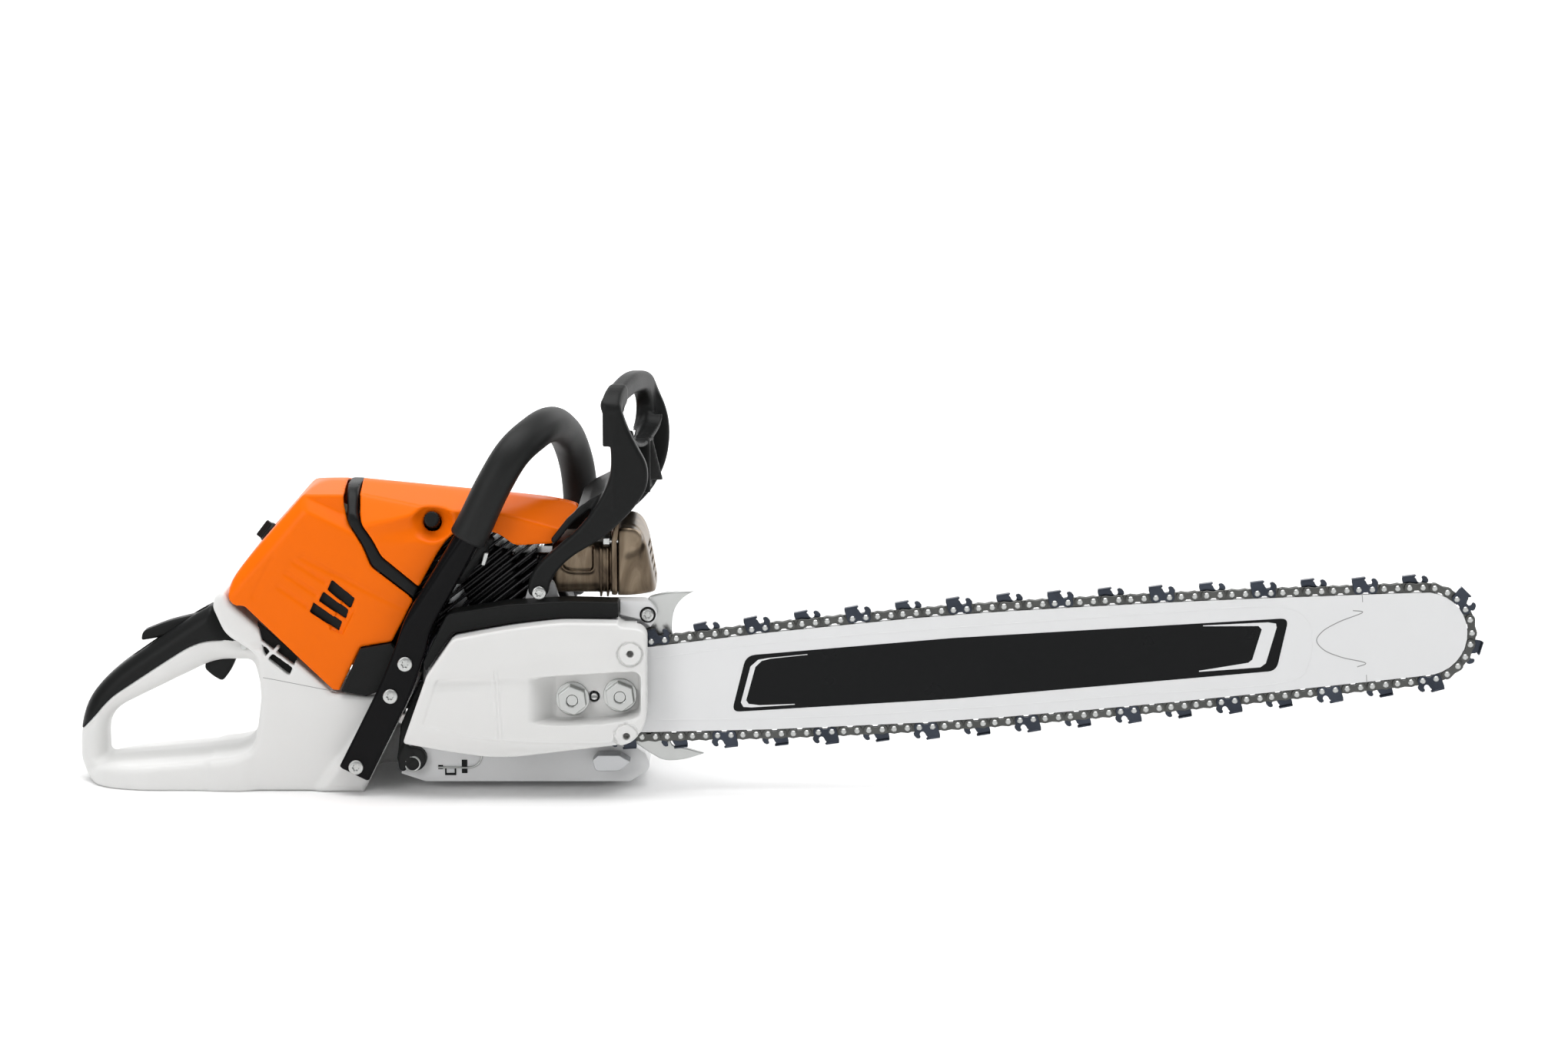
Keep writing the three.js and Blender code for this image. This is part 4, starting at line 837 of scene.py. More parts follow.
def hand_guard():
    block = Block((29.5, -58, 147), (131.5, 66, 305), 1.0)
    x, y, z = block.x, block.y, block.z
    lean_x = x - GUARD_LEAN * (y + 52)
    shape = prism(block, GUARD_RIGHT_LEG, -58, -46.5, 3.2)
    shape = merged(shape, prism(block, GUARD_LEFT_LEG, 57, 66, 2.5), 2)
    front = flat_shape(HOOP_FRONT, y, z)
    window = flat_shape(HOOP_WINDOW, y, z)
    plate = slab(common(carved(front, window), z - 262), lean_x, 92.5, 95.5, 1)
    trough = slab(common(common(window - 3.2, -window), z - 268), lean_x, 93, 105, 1.2)
    end_face = common(carved(front, window), np.maximum(y + 33, 258 - z))
    end_wall = slab(end_face, lean_x, 86, 97.5, 1)
    band_foot = 258 + 27 * ramp(-y, 32, 46)
    top_band = slab(carved(common(front, band_foot - z), window), lean_x, 84.5, 98, 4)
    rib = slab(np.maximum(np.abs(y - 6) - 1.4, np.maximum(215 - z, z - 256)), lean_x, 94, 106, 0.6)
    diagonal = np.maximum(np.abs((y - 34) + 0.9 * (z - 236)) - 1.8, np.abs(z - 238) - 20)
    diagonal = slab(diagonal, lean_x, 94, 105, 0.6)
    for part in (plate, rib, diagonal):
        shape = merged(shape, carved(part, window), 1.6)
    shape = merged(merged(shape, trough, 1.6), end_wall, 1.6)
    shape = merged(shape, top_band, 4)
    spans = zip(SADDLE_LINE, SADDLE_LINE[1:])
    saddle = np.minimum.reduce([flat_bar(block, start, end, 2.6) for start, end in spans])
    shape = merged(shape, slab(saddle, y, -50, 60), 4)
    near_fold = merged(flat_bar(block, (49, 188), (60, 202), 2.4),
                       flat_bar(block, (60, 202), (70, 211), 2.4))
    shape = merged(shape, slab(near_fold, y, -50, -43, 1), 2)
    shape = carved(shape, drum(block, *GUARD_PIVOT, 2.9, -90, 90), 0.6)
    shape = common(shape, z - 304.2)
    moulded(block, shape, "hand_guard")


hand_guard()


# ---- sprocket cover and its fastenings ----
SPROCKET_RIM = [
    (-24, 120, 4), (17, 128, 20), (55, 132.4, 10), (96, 131.8, 2), (98, 129, 2), (112, 128, 5),
    (117, 123, 4), (117, 64, 4), (115, 55, 7), (109, 46, 8), (102, 41.5, 6), (54, 35.6, 20),
    (10, 30.4, 20), (-23, 34.6, 20), (-61.5, 42, 3), (-43.5, 92),
]
COVER_PANEL = [
    (-36, 90.5, 3), (7, 89.5, 20), (55, 93, 20), (109, 96.3, 5), (112.8, 92, 4), (112.8, 62, 5),
    (106, 58, 4), (93, 54.5, 5), (92, 44, 4), (54, 43.6, 20), (10, 45.5, 20), (-19, 48.8, 20),
    (-47, 56.5, 3),
]
NUT_RECESS = [
    (22, 90.5), (55, 93, 20), (109, 96.3, 5), (112.8, 92, 4), (112.8, 64, 6), (106, 60.5, 5),
    (88, 57, 8), (52, 55.5, 8), (22, 58),
]
CLUTCH_ROOM = [
    (-22, 117), (17, 125), (50, 128), (50, 36.6), (10, 32), (-22, 36.5), (-58, 44), (-40, 92),
]
CHAIN_ROOM = [
    (20, 124), (50, 128), (114, 128), (130, 124), (130, 50), (114, 28), (92, 31.9), (54, 31.6),
    (18, 31),
]
COVER_BOSSES = [(105, 109), (102, 48)]
STUD_U = (62.2, 97.2)                 # the two bar studs, then the tension screw, along the bar
TENSIONER_U = 78
COVER_FACE = -82                      # outermost y of the sprocket cover
OUTERMOST = -81.95                    # keeps the rounded mesh inside the CAD's box
STUD_FLOOR = 21                       # depth of the recess round the bar nuts
HEAD_DOME = 0.02                      # fall of a screw head's face with the square of its radius
SOCKET_LOBES = 6


def bar_point(u, v):
    """Side-view place of a point given along and across the guide bar."""
    return (u * math.cos(BAR_TILT) - v * math.sin(BAR_TILT),
            CRANK_Z + u * math.sin(BAR_TILT) + v * math.cos(BAR_TILT))


def sprocket_cover():
    block = Block((-62, -82, 29), (117.5, -44, 133), 0.85)
    x, y, z = block.x, block.y, block.z
    panel = side_shape(block, COVER_PANEL)
    recess = side_shape(block, NUT_RECESS)
    crease = 93 + 0.21 * (x + 34)
    face = COVER_FACE + 1.8 * ramp(crease - z, 0, 15) * ramp(z, 80, 88)
    face = face + 2.2 * ramp(-panel, -0.4, 1.0) * (1 - 0.6 * ramp(crease - z, 0, 15))
    face = face + 4.5 * ramp(52 - z + 0.02 * x, 0, 16) * ramp(panel, 0, 3)
    face = face + (COVER_FACE + STUD_FLOOR - face) * ramp(x, 29, 51) * ramp(-recess, 0.0, 2.2)
    for boss_x, boss_z in COVER_BOSSES:
        reach = np.hypot(x - boss_x, z - boss_z)
        face = np.where(reach < 8.2, -81.6, np.where(reach < 9.6, face + 1.6, face))
    rib = np.abs(x - 8 + 0.06 * (z - 70))
    face = face - 0.9 * ramp(2.6 - rib, 0, 1) * ramp(z, 44, 47) * ramp(99 - z, 0, 3)
    face = face + 0.9 * ramp(0.9 - rib, 0, 0.7) * ramp(z, 44, 47) * ramp(99 - z, 0, 3)
    shape = prism(block, SPROCKET_RIM, np.maximum(face, OUTERMOST), -44, 2.2)
    clutch_room = side_shape(block, CLUTCH_ROOM)
    floor = COVER_FACE + STUD_FLOOR * ramp(x, 29, 51) * ramp(4 - recess, 0, 2.2)
    shape = carved(shape, slab(clutch_room, y, np.maximum(floor + 4, -75.8), -40))
    shape = carved(shape, prism(block, CHAIN_ROOM, -57, -40))
    for u in STUD_U:
        shape = carved(shape, drum(block, *bar_point(u, 0), 4.3, -90, -40))
    shape = carved(shape, drum(block, *bar_point(TENSIONER_U, 0), 4.2, -90, -40), 0.8)
    for boss_x, boss_z in COVER_BOSSES:
        shape = carved(shape, drum(block, boss_x, boss_z, 2.6, -90, -70), 0.4)
    moulded(block, shape, "sprocket_cover")


def bar_nuts():
    for u, node in zip(STUD_U, ("bar_nut_rear", "bar_nut_front")):
        centre_x, centre_z = bar_point(u, 0)
        block = Block((centre_x - 13, -71, centre_z - 13),
                      (centre_x + 13, -60, centre_z + 13), 0.42)
        off_x, off_z = block.x - centre_x, block.z - centre_z
        flats = [math.radians(angle + 8) for angle in (0, 60, 120)]
        sides = [np.abs(off_x * math.cos(t) + off_z * math.sin(t)) for t in flats]
        hexagon = np.maximum.reduce(sides) - 9.5
        radius = np.hypot(off_x, off_z)
        nut = slab(hexagon, block.y, -71, -62, 0.3)
        nut = common(nut, (radius - 10.4) * 0.5 - (block.y + 71) * 0.86)
        flange = slab(radius - 12.4, block.y, -63.4, -60.6, 0.4)
        flange = common(flange, (radius - 9.6) * 0.3 - (block.y + 64.2) * 0.95)
        shape = carved(merged(nut, flange, 0.5), slab(radius - 4.2, block.y, -80, -50), 0.8)
        moulded(block, shape, node)


def torx_screw(node, x, z, top, length, radius=5.4):
    """Domed screw head with a six-lobed socket; top is the y of its outer face."""
    block = Block((x - radius, top, z - radius), (x + radius, top + length, z + radius), 0.32)
    reach, angle = side_view(block, (x, z))
    head = slab(reach - radius, block.y, top + HEAD_DOME * reach ** 2, top + 2.9, 0.5)
    shape = merged(head, slab(reach - 2.6, block.y, top + 2, top + length))
    socket = reach - 2.25 - 0.42 * np.cos(SOCKET_LOBES * angle)
    shape = carved(shape, slab(socket, block.y, top - 2, top + 1.9), 0.3)
    moulded(block, shape, node)


sprocket_cover()
bar_nuts()
for number, (screw_x, screw_z) in enumerate([(-97, 22), (-71, 75), (-60, 99)], 1):
    torx_screw(f"handle_screw_{number}", screw_x, screw_z, -69, 20)
torx_screw("case_screw", *EAR_SCREW, -55.5, 18, 4.4)
torx_screw("guard_pivot_screw_right", *GUARD_PIVOT, -61.5, 24, 5)


# ---- muffler and cylinder ----
CASE_FACE = -42                       # crankcase face that the bar is clamped against
HOOD_SIDE = [(94.6, 144.5), (94.6, 195, 3), (108, 195, 8), (115, 185, 9), (123, 144.5, 3)]
HOOD_PLAN = [(90, -37), (107, -37, 9), (123, -22, 9), (123, 32, 9), (107, 47, 9), (90, 47)]
FIN_REGION = [
    (-62, 121), (10, 121), (30, 144), (36, 150), (36, 184), (-8, 200), (-50, 202), (-70, 170),
]
FIN_CORE = [(-52, 121), (6, 121), (22, 150), (16, 176), (-30, 190), (-62, 172)]
FIN_SLOPE = math.radians(38)
FIN_PITCH = 5.7
CYLINDER_AXIS = np.array((-math.sin(math.radians(20)), 0, math.cos(math.radians(20))))


def muffler():
    block = Block((46, -37, 144.5), (98, 47, 203), 1.0)
    x, y, z = block.x, block.y, block.z
    shape = slab(flat_shape(rectangle(-30, 145, 40, 183, 8), y, z), x, 46, 91, 3)
    window = side_shape(block, [(54, 190), (54, 165, 3), (60, 162, 3), (76, 162, 4), (76, 190)])
    shape = carved(shape, slab(window, y, -40, -28.2), 0.8)
    frame_line = np.abs(window - 1.2) - 0.7
    shape = merged(shape, slab(common(frame_line, z - 180), y, -31, -29, 0.3), 0.6)
    for rib_x in (82, 87):
        rib = slab(np.abs(x - rib_x) - 0.8, y, -30.9, 30, 0.3) + np.maximum(z - 179, 0)
        shape = merged(shape, rib, 1)
    flange = flat_shape([(-37, 144.5, 4), (47, 144.5, 4), (47, 193, 8), (-37, 193, 8)], y, z)
    shape = merged(shape, slab(flange, x, 90, 94.3, 0.6), 0.8)
    tab = side_shape(block, [(90.5, 186), (94.5, 186), (96.8, 201, 1), (94.5, 201, 1), (91.5, 194)])
    shape = merged(shape, slab(tab, y, -37, -29, 0.3), 0.8)
    inside = slab(flat_shape(rectangle(-27, 148, 37, 180, 6), y, z), x, 49, 99)
    shape = carved(shape, inside)
    shape = carved(shape, common(bar_between(block, (80, -33, 185), (99, -33, 185), 2.9), 90 - x))
    moulded(block, shape, "muffler_rear")

    block = Block((94.6, -37, 144.5), (123, 47, 195), 1.0)
    x, y, z = block.x, block.y, block.z
    hood = common(side_shape(block, HOOD_SIDE), flat_shape(HOOD_PLAN, x, y), 3)
    crease = np.abs((y + 37) * 0.5 - (z - 176) * 0.5)
    hood = hood + 0.9 * ramp(3 - crease, 0, 3) * ramp(x, 97, 103)
    shape = carved(hood, common(hood + 2, 93 - x))
    for level in range(5):
        louvre = common(np.abs(z - (152 + 6 * level)) - 1.3, np.abs(y - 6) - 17)
        shape = carved(shape, common(louvre, 112 - x), 0.5)
    shape = carved(shape, bar_between(block, (114, 36, 158), (135, 36, 158), 6))
    moulded(block, shape, "muffler_front")


def cylinder():
    block = Block((-70, -33.5, 121), (46, 29.5, 202), 1.15)
    x, y, z = block.x, block.y, block.z
    across_fins = (z - 158) * math.cos(FIN_SLOPE) - (x + 14) * math.sin(FIN_SLOPE)
    fins = np.abs((across_fins % FIN_PITCH) - FIN_PITCH / 2) - 1.05
    fins = common(common(fins, side_shape(block, FIN_REGION), 0.8), np.maximum(y - 29.5, -33.5 - y))
    core = prism(block, FIN_CORE, -26, 26, 3)
    shape = merged(fins, core, 1)
    shape = merged(shape, prism(block, rectangle(-20, 149, 45.6, 173), -17, 17, 2), 1)
    shape = merged(shape, prism(block, rectangle(-62, 126, -30, 154), -15, 15, 2), 1)
    along, away = about_axis(block, (0, 0, CRANK_Z), CYLINDER_AXIS)
    shape = carved(shape, slab(away - 26.3, along, 40, 114))
    shape = carved(shape, slab(away - 11, along, 124.2, 160), 0.6)
    shape = carved(shape, slab(away - 5.4, along, 100, 130))
    shape = carved(shape, prism(block, rectangle(-25, 154, 50, 168), -12, 12))
    shape = carved(shape, prism(block, rectangle(-80, 133, -30, 147), -10, 10))
    shape = carved(shape, bar_between(block, (-41, -60, 204), (-41.3, -25, 195.5), 7))
    moulded(block, shape, "cylinder")


def plug_lead():
    """Rubber cap of the ignition lead, with its spring clip, tucked in beside the handle."""
    block = Block((-33, -44, 150), (5, -31, 192), 0.7)
    boot = merged(bar_between(block, (-22, -39, 160), (-6, -38.5, 181), 6.4),
                  bar_between(block, (-4, -38, 184), (1, -37, 186), 3.4), 3)
    moulded(block, boot, "spark_plug_boot", "plug_lead")
    block = Block((-8, -45.2, 168), (2, -38, 179), 0.4)
    strip = side_shape(block, [(-5.5, 168.6, 1), (-2.4, 168, 1), (0.6, 177.6, 1), (-2.8, 178.4, 1)])
    clip = slab(strip, block.y, -45, -38.6, 0.4)
    moulded(block, clip, "spark_plug", "lead_clip")


muffler()
cylinder()
plug_lead()


# ---- crankcase details on the right side ----
SPIKE = [
    (105, 112), (113, 123, 6), (118.5, 136, 8), (116, 144, 6), (124, 146.6, 6), (134, 148.3, 8),
    (151, 148.8), (143, 144.2, 6), (137.2, 137.6, 6), (134.6, 129, 6), (134.3, 118, 3),
    (138, 111.6, 1), (147.6, 109.8), (139, 104, 5), (134.6, 97, 4), (134.4, 84, 3), (145.6, 80),
    (137, 76, 4), (133.6, 69, 4), (132.4, 54, 3), (143.6, 50), (136, 46, 4), (132.4, 40, 3),
    (134, 33, 3), (145, 31, 4), (158.6, 27), (143, 22, 6), (128, 21, 6), (118, 27, 6), (105, 36),
]


def bumper_spike():
    block = Block((104.5, CASE_FACE, 20), (159, CASE_FACE + 4, 150), 0.7)
    plate = prism(block, SPIKE, CASE_FACE + 1, CASE_FACE + 4, 0.7)
    moulded(block, plate, "bumper_spike")


def ear_ring():
    """Dark ring in the ear's face around its screw: painted shade that stands for a groove round
    the screw.
    """
    block = Block((110, -53.4, 126), (124, -51, 140), 0.4)
    reach, _ = side_view(block, EAR_SCREW)
    ring = slab(np.abs(reach - 5.2) - 0.7, block.y, -52.7, -51.6, 0.2)
    moulded(block, ring, "guard_pivot_screw_right", "ear_ring", material=PAINTED_SHADE)


def vent_shade_pads():
    """Dark pads behind the tank's side vents: painted shade that darkens the vents' insides."""
    block = Block((-174, -44, 84), (-138, -39, 128), 0.9)
    pads = [slab(side_shape(block, vent) - 0.6, block.y, -42.4, -40, 0.5) for vent in SIDE_VENTS]
    moulded(block, merged(*pads), "tank_housing", "vent_shade_pads", material=PAINTED_SHADE)


def vibration_buffer():
    block = Block((-70, -50, 10), (-44, -22, 86), 0.8)
    plug = drum(block, -56, 24, 9, -49.5, -22, 1.5)
    lobe = [(-68.3, 26, 3), (-67, 15.5, 3), (-63, 14.5, 3), (-54, 27, 4), (-62.4, 38)]
    lobe = prism(block, lobe, -50, -44.5, 2)
    # The plate fills the whole dark strip from the tank's ledge to the cover: part real plate, part
    # painted shade.
    plate = [
        (-68.5, 24), (-65.4, 50), (-57.4, 68), (-54, 72), (-52.6, 67), (-57.5, 50), (-62.5, 36.7),
        (-64, 24),
    ]
    plate = prism(block, plate, -48.6, -44.5, 1)
    disc = drum(block, -54.4, 76.4, 7.8, -49.5, -44.5, 1.2)
    shape = merged(merged(merged(plug, lobe, 1), plate, 1), disc, 1)
    tank_edge = 0.6 - below(block, (-91, 0, 4), (72, 0, -36))
    shape = common(shape, merged(tank_edge, block.y + 100))
    moulded(block, shape, "vibration_buffer")
    reach, _ = side_view(block, (-57, 20.8))
    ring = slab(np.abs(reach - 5.4) - 0.8, block.y, -50.2, -48.6, 0.3)
    moulded(block, ring, "case_screw", "buffer_ring")


def wire_and_clip():
    wire = smooth_path([
        (-38.5, -43, 16.6), (-26, -43, 16.6), (-15.5, -43, 16.6), (-10.5, -43, 18.2),
        (-7.2, -43, 22),
        (-6.4, -43, 28),
    ])
    sizes = [(0.75, 0.75, 2)] * len(wire)
    place_piece(swept_mesh("spring_wire", wire, sizes, 0.3, 16), "spring_wire", "case_screw", False)
    block = Block((-40, -43.5, 10), (-16, -41.6, 24), 0.5)
    slots = merged(flat_shape(rectangle(-21.5, 12, -17.2, 22.4), block.x, block.z),
                   flat_shape(rectangle(-39, 15, -35.2, 18.4), block.x, block.z))
    slots = merged(slots, flat_shape(rectangle(-33.9, 10.5, -25.3, 16), block.x, block.z))
    moulded(block, slab(slots, block.y, -42.4, -41.7, 0.2), "brake_side_cover", "casting_pockets")
    block = Block((-33, -43.6, 12), (-26, -41.6, 17), 0.4)
    pad = prism(block, rectangle(-32.6, 12.4, -26.6, 16.2), -43.4, -41.8, 0.4)
    moulded(block, pad, "chain_catcher", "casting_pad")


bumper_spike()
ear_ring()
vent_shade_pads()
vibration_buffer()
wire_and_clip()


# ---- guide bar and chain ----
RAIL_POINTS = [(110, 31.4), (230, 37), (360, 39.4), (520, 36.8), (640, 32.7), (692, 31)]
RAIL_STEPS = 12                       # points on each span between them
RAIL_SAMPLES = 90                     # points on the chain's straight runs
NOSE_U, NOSE_RADIUS = 688.7, 31
RIM_RADIUS = 19.4                     # drive rim that the chain runs on
LINK_PAIRS = 84
RIVET_REACH = 4.95                    # from the middle of a pair of plates to each of its rivets
RIVET_HEIGHT = 3.4
FIRST_CUTTER_U = 201.4

PLATE_SHAPE = [
    (-8.9, 3.3), (-8.5, 5.2), (-7.2, 6.6), (-5.0, 7.1), (-2.6, 6.7), (0, 6.3), (2.6, 6.7),
    (5.0, 7.1), (7.2, 6.6), (8.5, 5.2), (8.9, 3.3), (8.4, 1.5), (7.0, 0.3), (4.2, 0.2), (2.2, 0.5),
    (1.4, 1.3), (-1.4, 1.3), (-2.2, 0.5), (-4.2, 0.2), (-7.0, 0.3), (-8.4, 1.5),
]
DRIVE_SHAPE = [
    (-7.4, 3.3), (-6.6, 5.7), (-4.3, 6.7), (4.3, 6.7), (6.6, 5.7), (7.4, 3.3), (6.2, 0.6),
    (3.6, -1.4), (2.6, -4.4), (-0.4, -5), (-2.4, -2.6), (-6, 0.6),
]
CUTTER_SHAPE = [
    (-8.9, 3.3), (-9.4, 6.2), (-10.1, 9.4), (-10, 11.2), (-8.6, 12), (-4.2, 12.3), (-0.3, 12.7),
    (0.2, 11.9), (-0.8, 10.7), (0.2, 9.7), (0.8, 8.2), (1.8, 6.9), (3.2, 6.6), (4.4, 7.3),
    (4.9, 8.8), (4.3, 10.2), (4.6, 11.3), (6.2, 11.7), (7.8, 10.9), (9.2, 8.9), (9.3, 7.2),
    (8.1, 6.2), (8.9, 3.3), (8.4, 1.5), (7.0, 0.3), (4.2, 0.2), (2.2, 0.5), (1.4, 1.3), (-1.4, 1.3),
    (-2.2, 0.5), (-4.2, 0.2), (-7.0, 0.3), (-8.4, 1.5),
]
TOP_PLATE = [(-10.1, 10.9), (-9.8, 12), (-4.2, 12.5), (-0.3, 12.9), (0.3, 12.1), (-4.4, 11.4)]
HEAD_SIDES = 14
HEAD_RADIUS = 2.15
ROUND_HEAD = [(HEAD_RADIUS * math.cos(2 * math.pi * i / HEAD_SIDES),
               HEAD_RADIUS * math.sin(2 * math.pi * i / HEAD_SIDES)) for i in range(HEAD_SIDES)]


class Pile:
    """Collects flat plates with softened rims into one mesh."""

    def __init__(self):
        self.points = []
        self.faces = []

    def plate(self, place, outline, low, high, soften_by=0.2):
        outline = np.array(outline, float)
        arriving = outline - np.roll(outline, 1, 0)
        leaving = np.roll(outline, -1, 0) - outline
        normals = sum(np.stack([edge[:, 1], -edge[:, 0]], 1) / np.linalg.norm(edge, axis=1)[:, None]
                      for edge in (arriving, leaving))
        normals /= np.maximum(np.linalg.norm(normals, axis=1)[:, None], 0.3)
        x, z = outline[:, 0], outline[:, 1]
        turns_left = np.sum(x * np.roll(z, -1) - z * np.roll(x, -1)) > 0
        inset = outline - normals * soften_by * (1 if turns_left else -1)
        start, count = sum(len(ring) for ring in self.points), len(outline)
        rings = [
            (inset, low), (outline, low + soften_by), (outline, high - soften_by), (inset, high),
        ]
        self.points += [place(ring, depth) for ring, depth in rings]
        for layer in range(3):
            for i in range(count):
                a = start + layer * count + i
                b = start + layer * count + (i + 1) % count
                self.faces.append((a, b, b + count, a + count))
        self.faces.append(tuple(range(start, start + count)))
        self.faces.append(tuple(range(start + 3 * count, start + 4 * count)))

    def mesh(self, name):
        mesh = mesh_of(name, np.concatenate(self.points), self.faces, smooth=False)
        return edit_mesh(mesh, outward_normals)


def on_bar(points, depth):
    """Places (u, v) points of the bar's own plane; depth runs from its middle to the left."""
    flat = [bar_point(u, v) for u, v in points]
    return np.array([(x, BAR_Y + depth, z) for x, z in flat])


def rail_line():
    """The bar's upper rail, as (u, v)."""
    knots = np.array([RAIL_POINTS[0]] + RAIL_POINTS + [RAIL_POINTS[-1]], float)
    share = np.linspace(0, 1, RAIL_STEPS, endpoint=False)[:, None]
    spans = []
    for a, b, c, d in zip(knots, knots[1:], knots[2:], knots[3:]):
        spans.append(0.5 * (2 * b + (c - a) * share + (2 * a - 5 * b + 4 * c - d) * share ** 2
                            + (3 * b - a - 3 * c + d) * share ** 3))
    return np.concatenate(spans + [knots[-1:]])


def arc_points(u, v, radius, start, end, steps):
    angles = np.radians(np.linspace(start, end, steps + 1))
    return np.stack([u + radius * np.cos(angles), v + radius * np.sin(angles)], 1)


def chain_loop(offset):
    """Closed line at an offset outside the rails, the nose and the drive rim."""
    u = np.linspace(110, 686, RAIL_SAMPLES)
    line = rail_line()
    upper = np.stack([u, np.interp(u, line[:, 0], line[:, 1]) + offset], 1)
    nose = arc_points(NOSE_U, 0, NOSE_RADIUS + offset, 84, -84, 40)
    lower = upper[::-1] * (1, -1)
    wrap = arc_points(0, 0, RIM_RADIUS + offset, 263, 97, 30)
    return np.concatenate([upper, nose, lower, wrap, upper[:1]])


def saw_chain():
    loop = chain_loop(RIVET_HEIGHT + 0.3)
    reach = np.concatenate([[0], np.cumsum(np.linalg.norm(np.diff(loop, axis=0), axis=1))])
    total = reach[-1]
    pitch = total / LINK_PAIRS
    first = np.interp(FIRST_CUTTER_U, loop[:RAIL_SAMPLES, 0], reach[:RAIL_SAMPLES])

    def at(distance):
        distance %= total
        return np.array([np.interp(distance, reach, loop[:, i]) for i in range(2)])

    def link_place(middle, half_span):
        """Rigid frame of a link whose two rivets are on the line."""
        rear, front = at(middle - half_span), at(middle + half_span)
        forward = (front - rear) / np.linalg.norm(front - rear)
        outward = np.array((-forward[1], forward[0]))
        centre = (rear + front) / 2

        def place(points, depth):
            spots = centre + points[:, :1] * forward + (points[:, 1:] - RIVET_HEIGHT) * outward
            return on_bar(spots, depth)
        return place

    straps, cutters, rivets = Pile(), Pile(), Pile()
    for i in range(LINK_PAIRS):
        middle = first + i * pitch
        place = link_place(middle, RIVET_REACH)
        cutting_side = {0: -1, 2: 1}.get(i % 4, 0)
        for side in (-1, 1):
            low, high = sorted((side * 1.05, side * 2.35))
            pile, outline = straps, PLATE_SHAPE
            if side == cutting_side:
                pile, outline = cutters, CUTTER_SHAPE
            pile.plate(place, outline, low, high, 0.22)
            for rivet in (-RIVET_REACH, RIVET_REACH):
                head = np.array(ROUND_HEAD) + (rivet, RIVET_HEIGHT)
                low, high = sorted((side * 1.9, side * 3.05))
                rivets.plate(place, head, low, high, 0.55)
        if cutting_side:
            low, high = sorted((cutting_side * -1.3, cutting_side * 2.9))
            cutters.plate(place, TOP_PLATE, low, high, 0.2)
        place = link_place(middle + pitch / 2, pitch / 2 - RIVET_REACH)
        straps.plate(place, DRIVE_SHAPE, -0.75, 0.75, 0.15)
    place_piece(straps.mesh("chain_links"), "chain_links", "saw_chain")
    place_piece(cutters.mesh("chain_cutters"), "chain_cutters", "saw_chain", False, BLUED_STEEL)
    place_piece(rivets.mesh("chain_rivets"), "chain_rivets", "saw_chain", False, STEEL)


DECAL = [
    (177.4, -21, 6), (191, 20.4, 7), (343.4, 22.4), (589.8, 19.2, 6), (578.6, -19.4, 6),
    (340.5, -23),
]
FRONT_BRACKET = [
    (526.8, 18.4), (574.5, 17.2), (580.2, 15.9), (580.6, 13), (571.2, -13.2), (567, -15.9),
    (522, -16), (522, -15.2), (558.3, -11.9), (561.4, -9.8), (569.6, 12.2), (567.4, 15),
    (526.8, 17.8),
]
REAR_BRACKET = [
    (236, 18.2), (207, 17.4), (199.6, 16.6), (193.6, 12), (184.6, -14.4), (186.2, -17.8),
    (192, -18.6), (224, -18.9), (224, -18.3), (198, -17.4), (190.2, -15.8), (188.6, -13),
    (197.2, 11.4), (202.2, 15.6), (209, 16.8), (236, 17.7),
]
PANEL_LINE = [
    (117, 23), (219, 28.8), (344, 30), (470, 29.8), (585, 27.8), (597, 23), (603.9, 16.2),
    (606.2, 8), (605.8, -1.2), (603.4, -14), (599, -23), (589.2, -27.7), (470, -29.8), (340, -30.8),
    (219, -28.6), (121, -22.9),
]
NOSE_SEAM = [
    (637, 21.4), (644.2, 19.8), (626, 13.6), (613.6, 7.2), (609.3, 1.1), (613.8, -6),
    (626.4, -12.6), (644.5, -18.7), (638, -20.8),
]
BAR_FACE = -2.4


def stroke(points, width):
    """Outline of a line of the given width."""
    points = np.array(points, float)
    direction = np.gradient(points, axis=0)
    direction /= np.linalg.norm(direction, axis=1)[:, None]
    across = np.stack([-direction[:, 1], direction[:, 0]], 1) * width / 2
    return np.concatenate([points + across, (points - across)[::-1]])


def curved_stroke(points, width):
    return stroke(smooth_path([(u, v, 0) for u, v in points], 6)[:, :2], width)


def bar_marks():
    """The bar's printed field with its brackets, and the fine lines in its face."""
    black, white, shade = Pile(), Pile(), Pile()
    black.plate(on_bar, rounded_corners(DECAL), BAR_FACE - 0.14, BAR_FACE + 0.1, 0.03)
    for outline in (FRONT_BRACKET, REAR_BRACKET):
        white.plate(on_bar, outline, BAR_FACE - 0.24, BAR_FACE - 0.1, 0.03)
    white.plate(on_bar, curved_stroke(PANEL_LINE, 0.8), BAR_FACE - 0.16, BAR_FACE + 0.1, 0.1)
    shade.plate(on_bar, curved_stroke(NOSE_SEAM, 0.7), BAR_FACE - 0.08, BAR_FACE + 0.1, 0.03)
    for end in (1, -1):
        seam = [(644.4, 27.2 * end), (644.4, 32.4 * end)]
        shade.plate(on_bar, stroke(seam, 0.5), BAR_FACE - 0.08, BAR_FACE + 0.1, 0.03)
    place_piece(black.mesh("bar_decal"), "bar_decal", "guide_bar", False, DECAL_BLACK)
    place_piece(white.mesh("bar_lines"), "bar_lines", "guide_bar", False)
    place_piece(shade.mesh("bar_seams"), "bar_seams", "guide_bar", False, SEAM_GREY)


def tank_seam():
    """Fine line along the joint of the tank's two mouldings."""
    line = Pile()
    run = stroke([(-166, 85.6), (-158, 84.2), (-140, 80.6), (-120, 76.6), (-112, 75)], 0.45)

    def on_side(points, depth):
        return np.array([(x, depth, z) for x, z in points])

    line.plate(on_side, run, TANK_FACE - 0.12, TANK_FACE + 0.1, 0.03)
    place_piece(line.mesh("tank_seam"), "tank_seam", "tank_housing", False, SEAM_GREY)


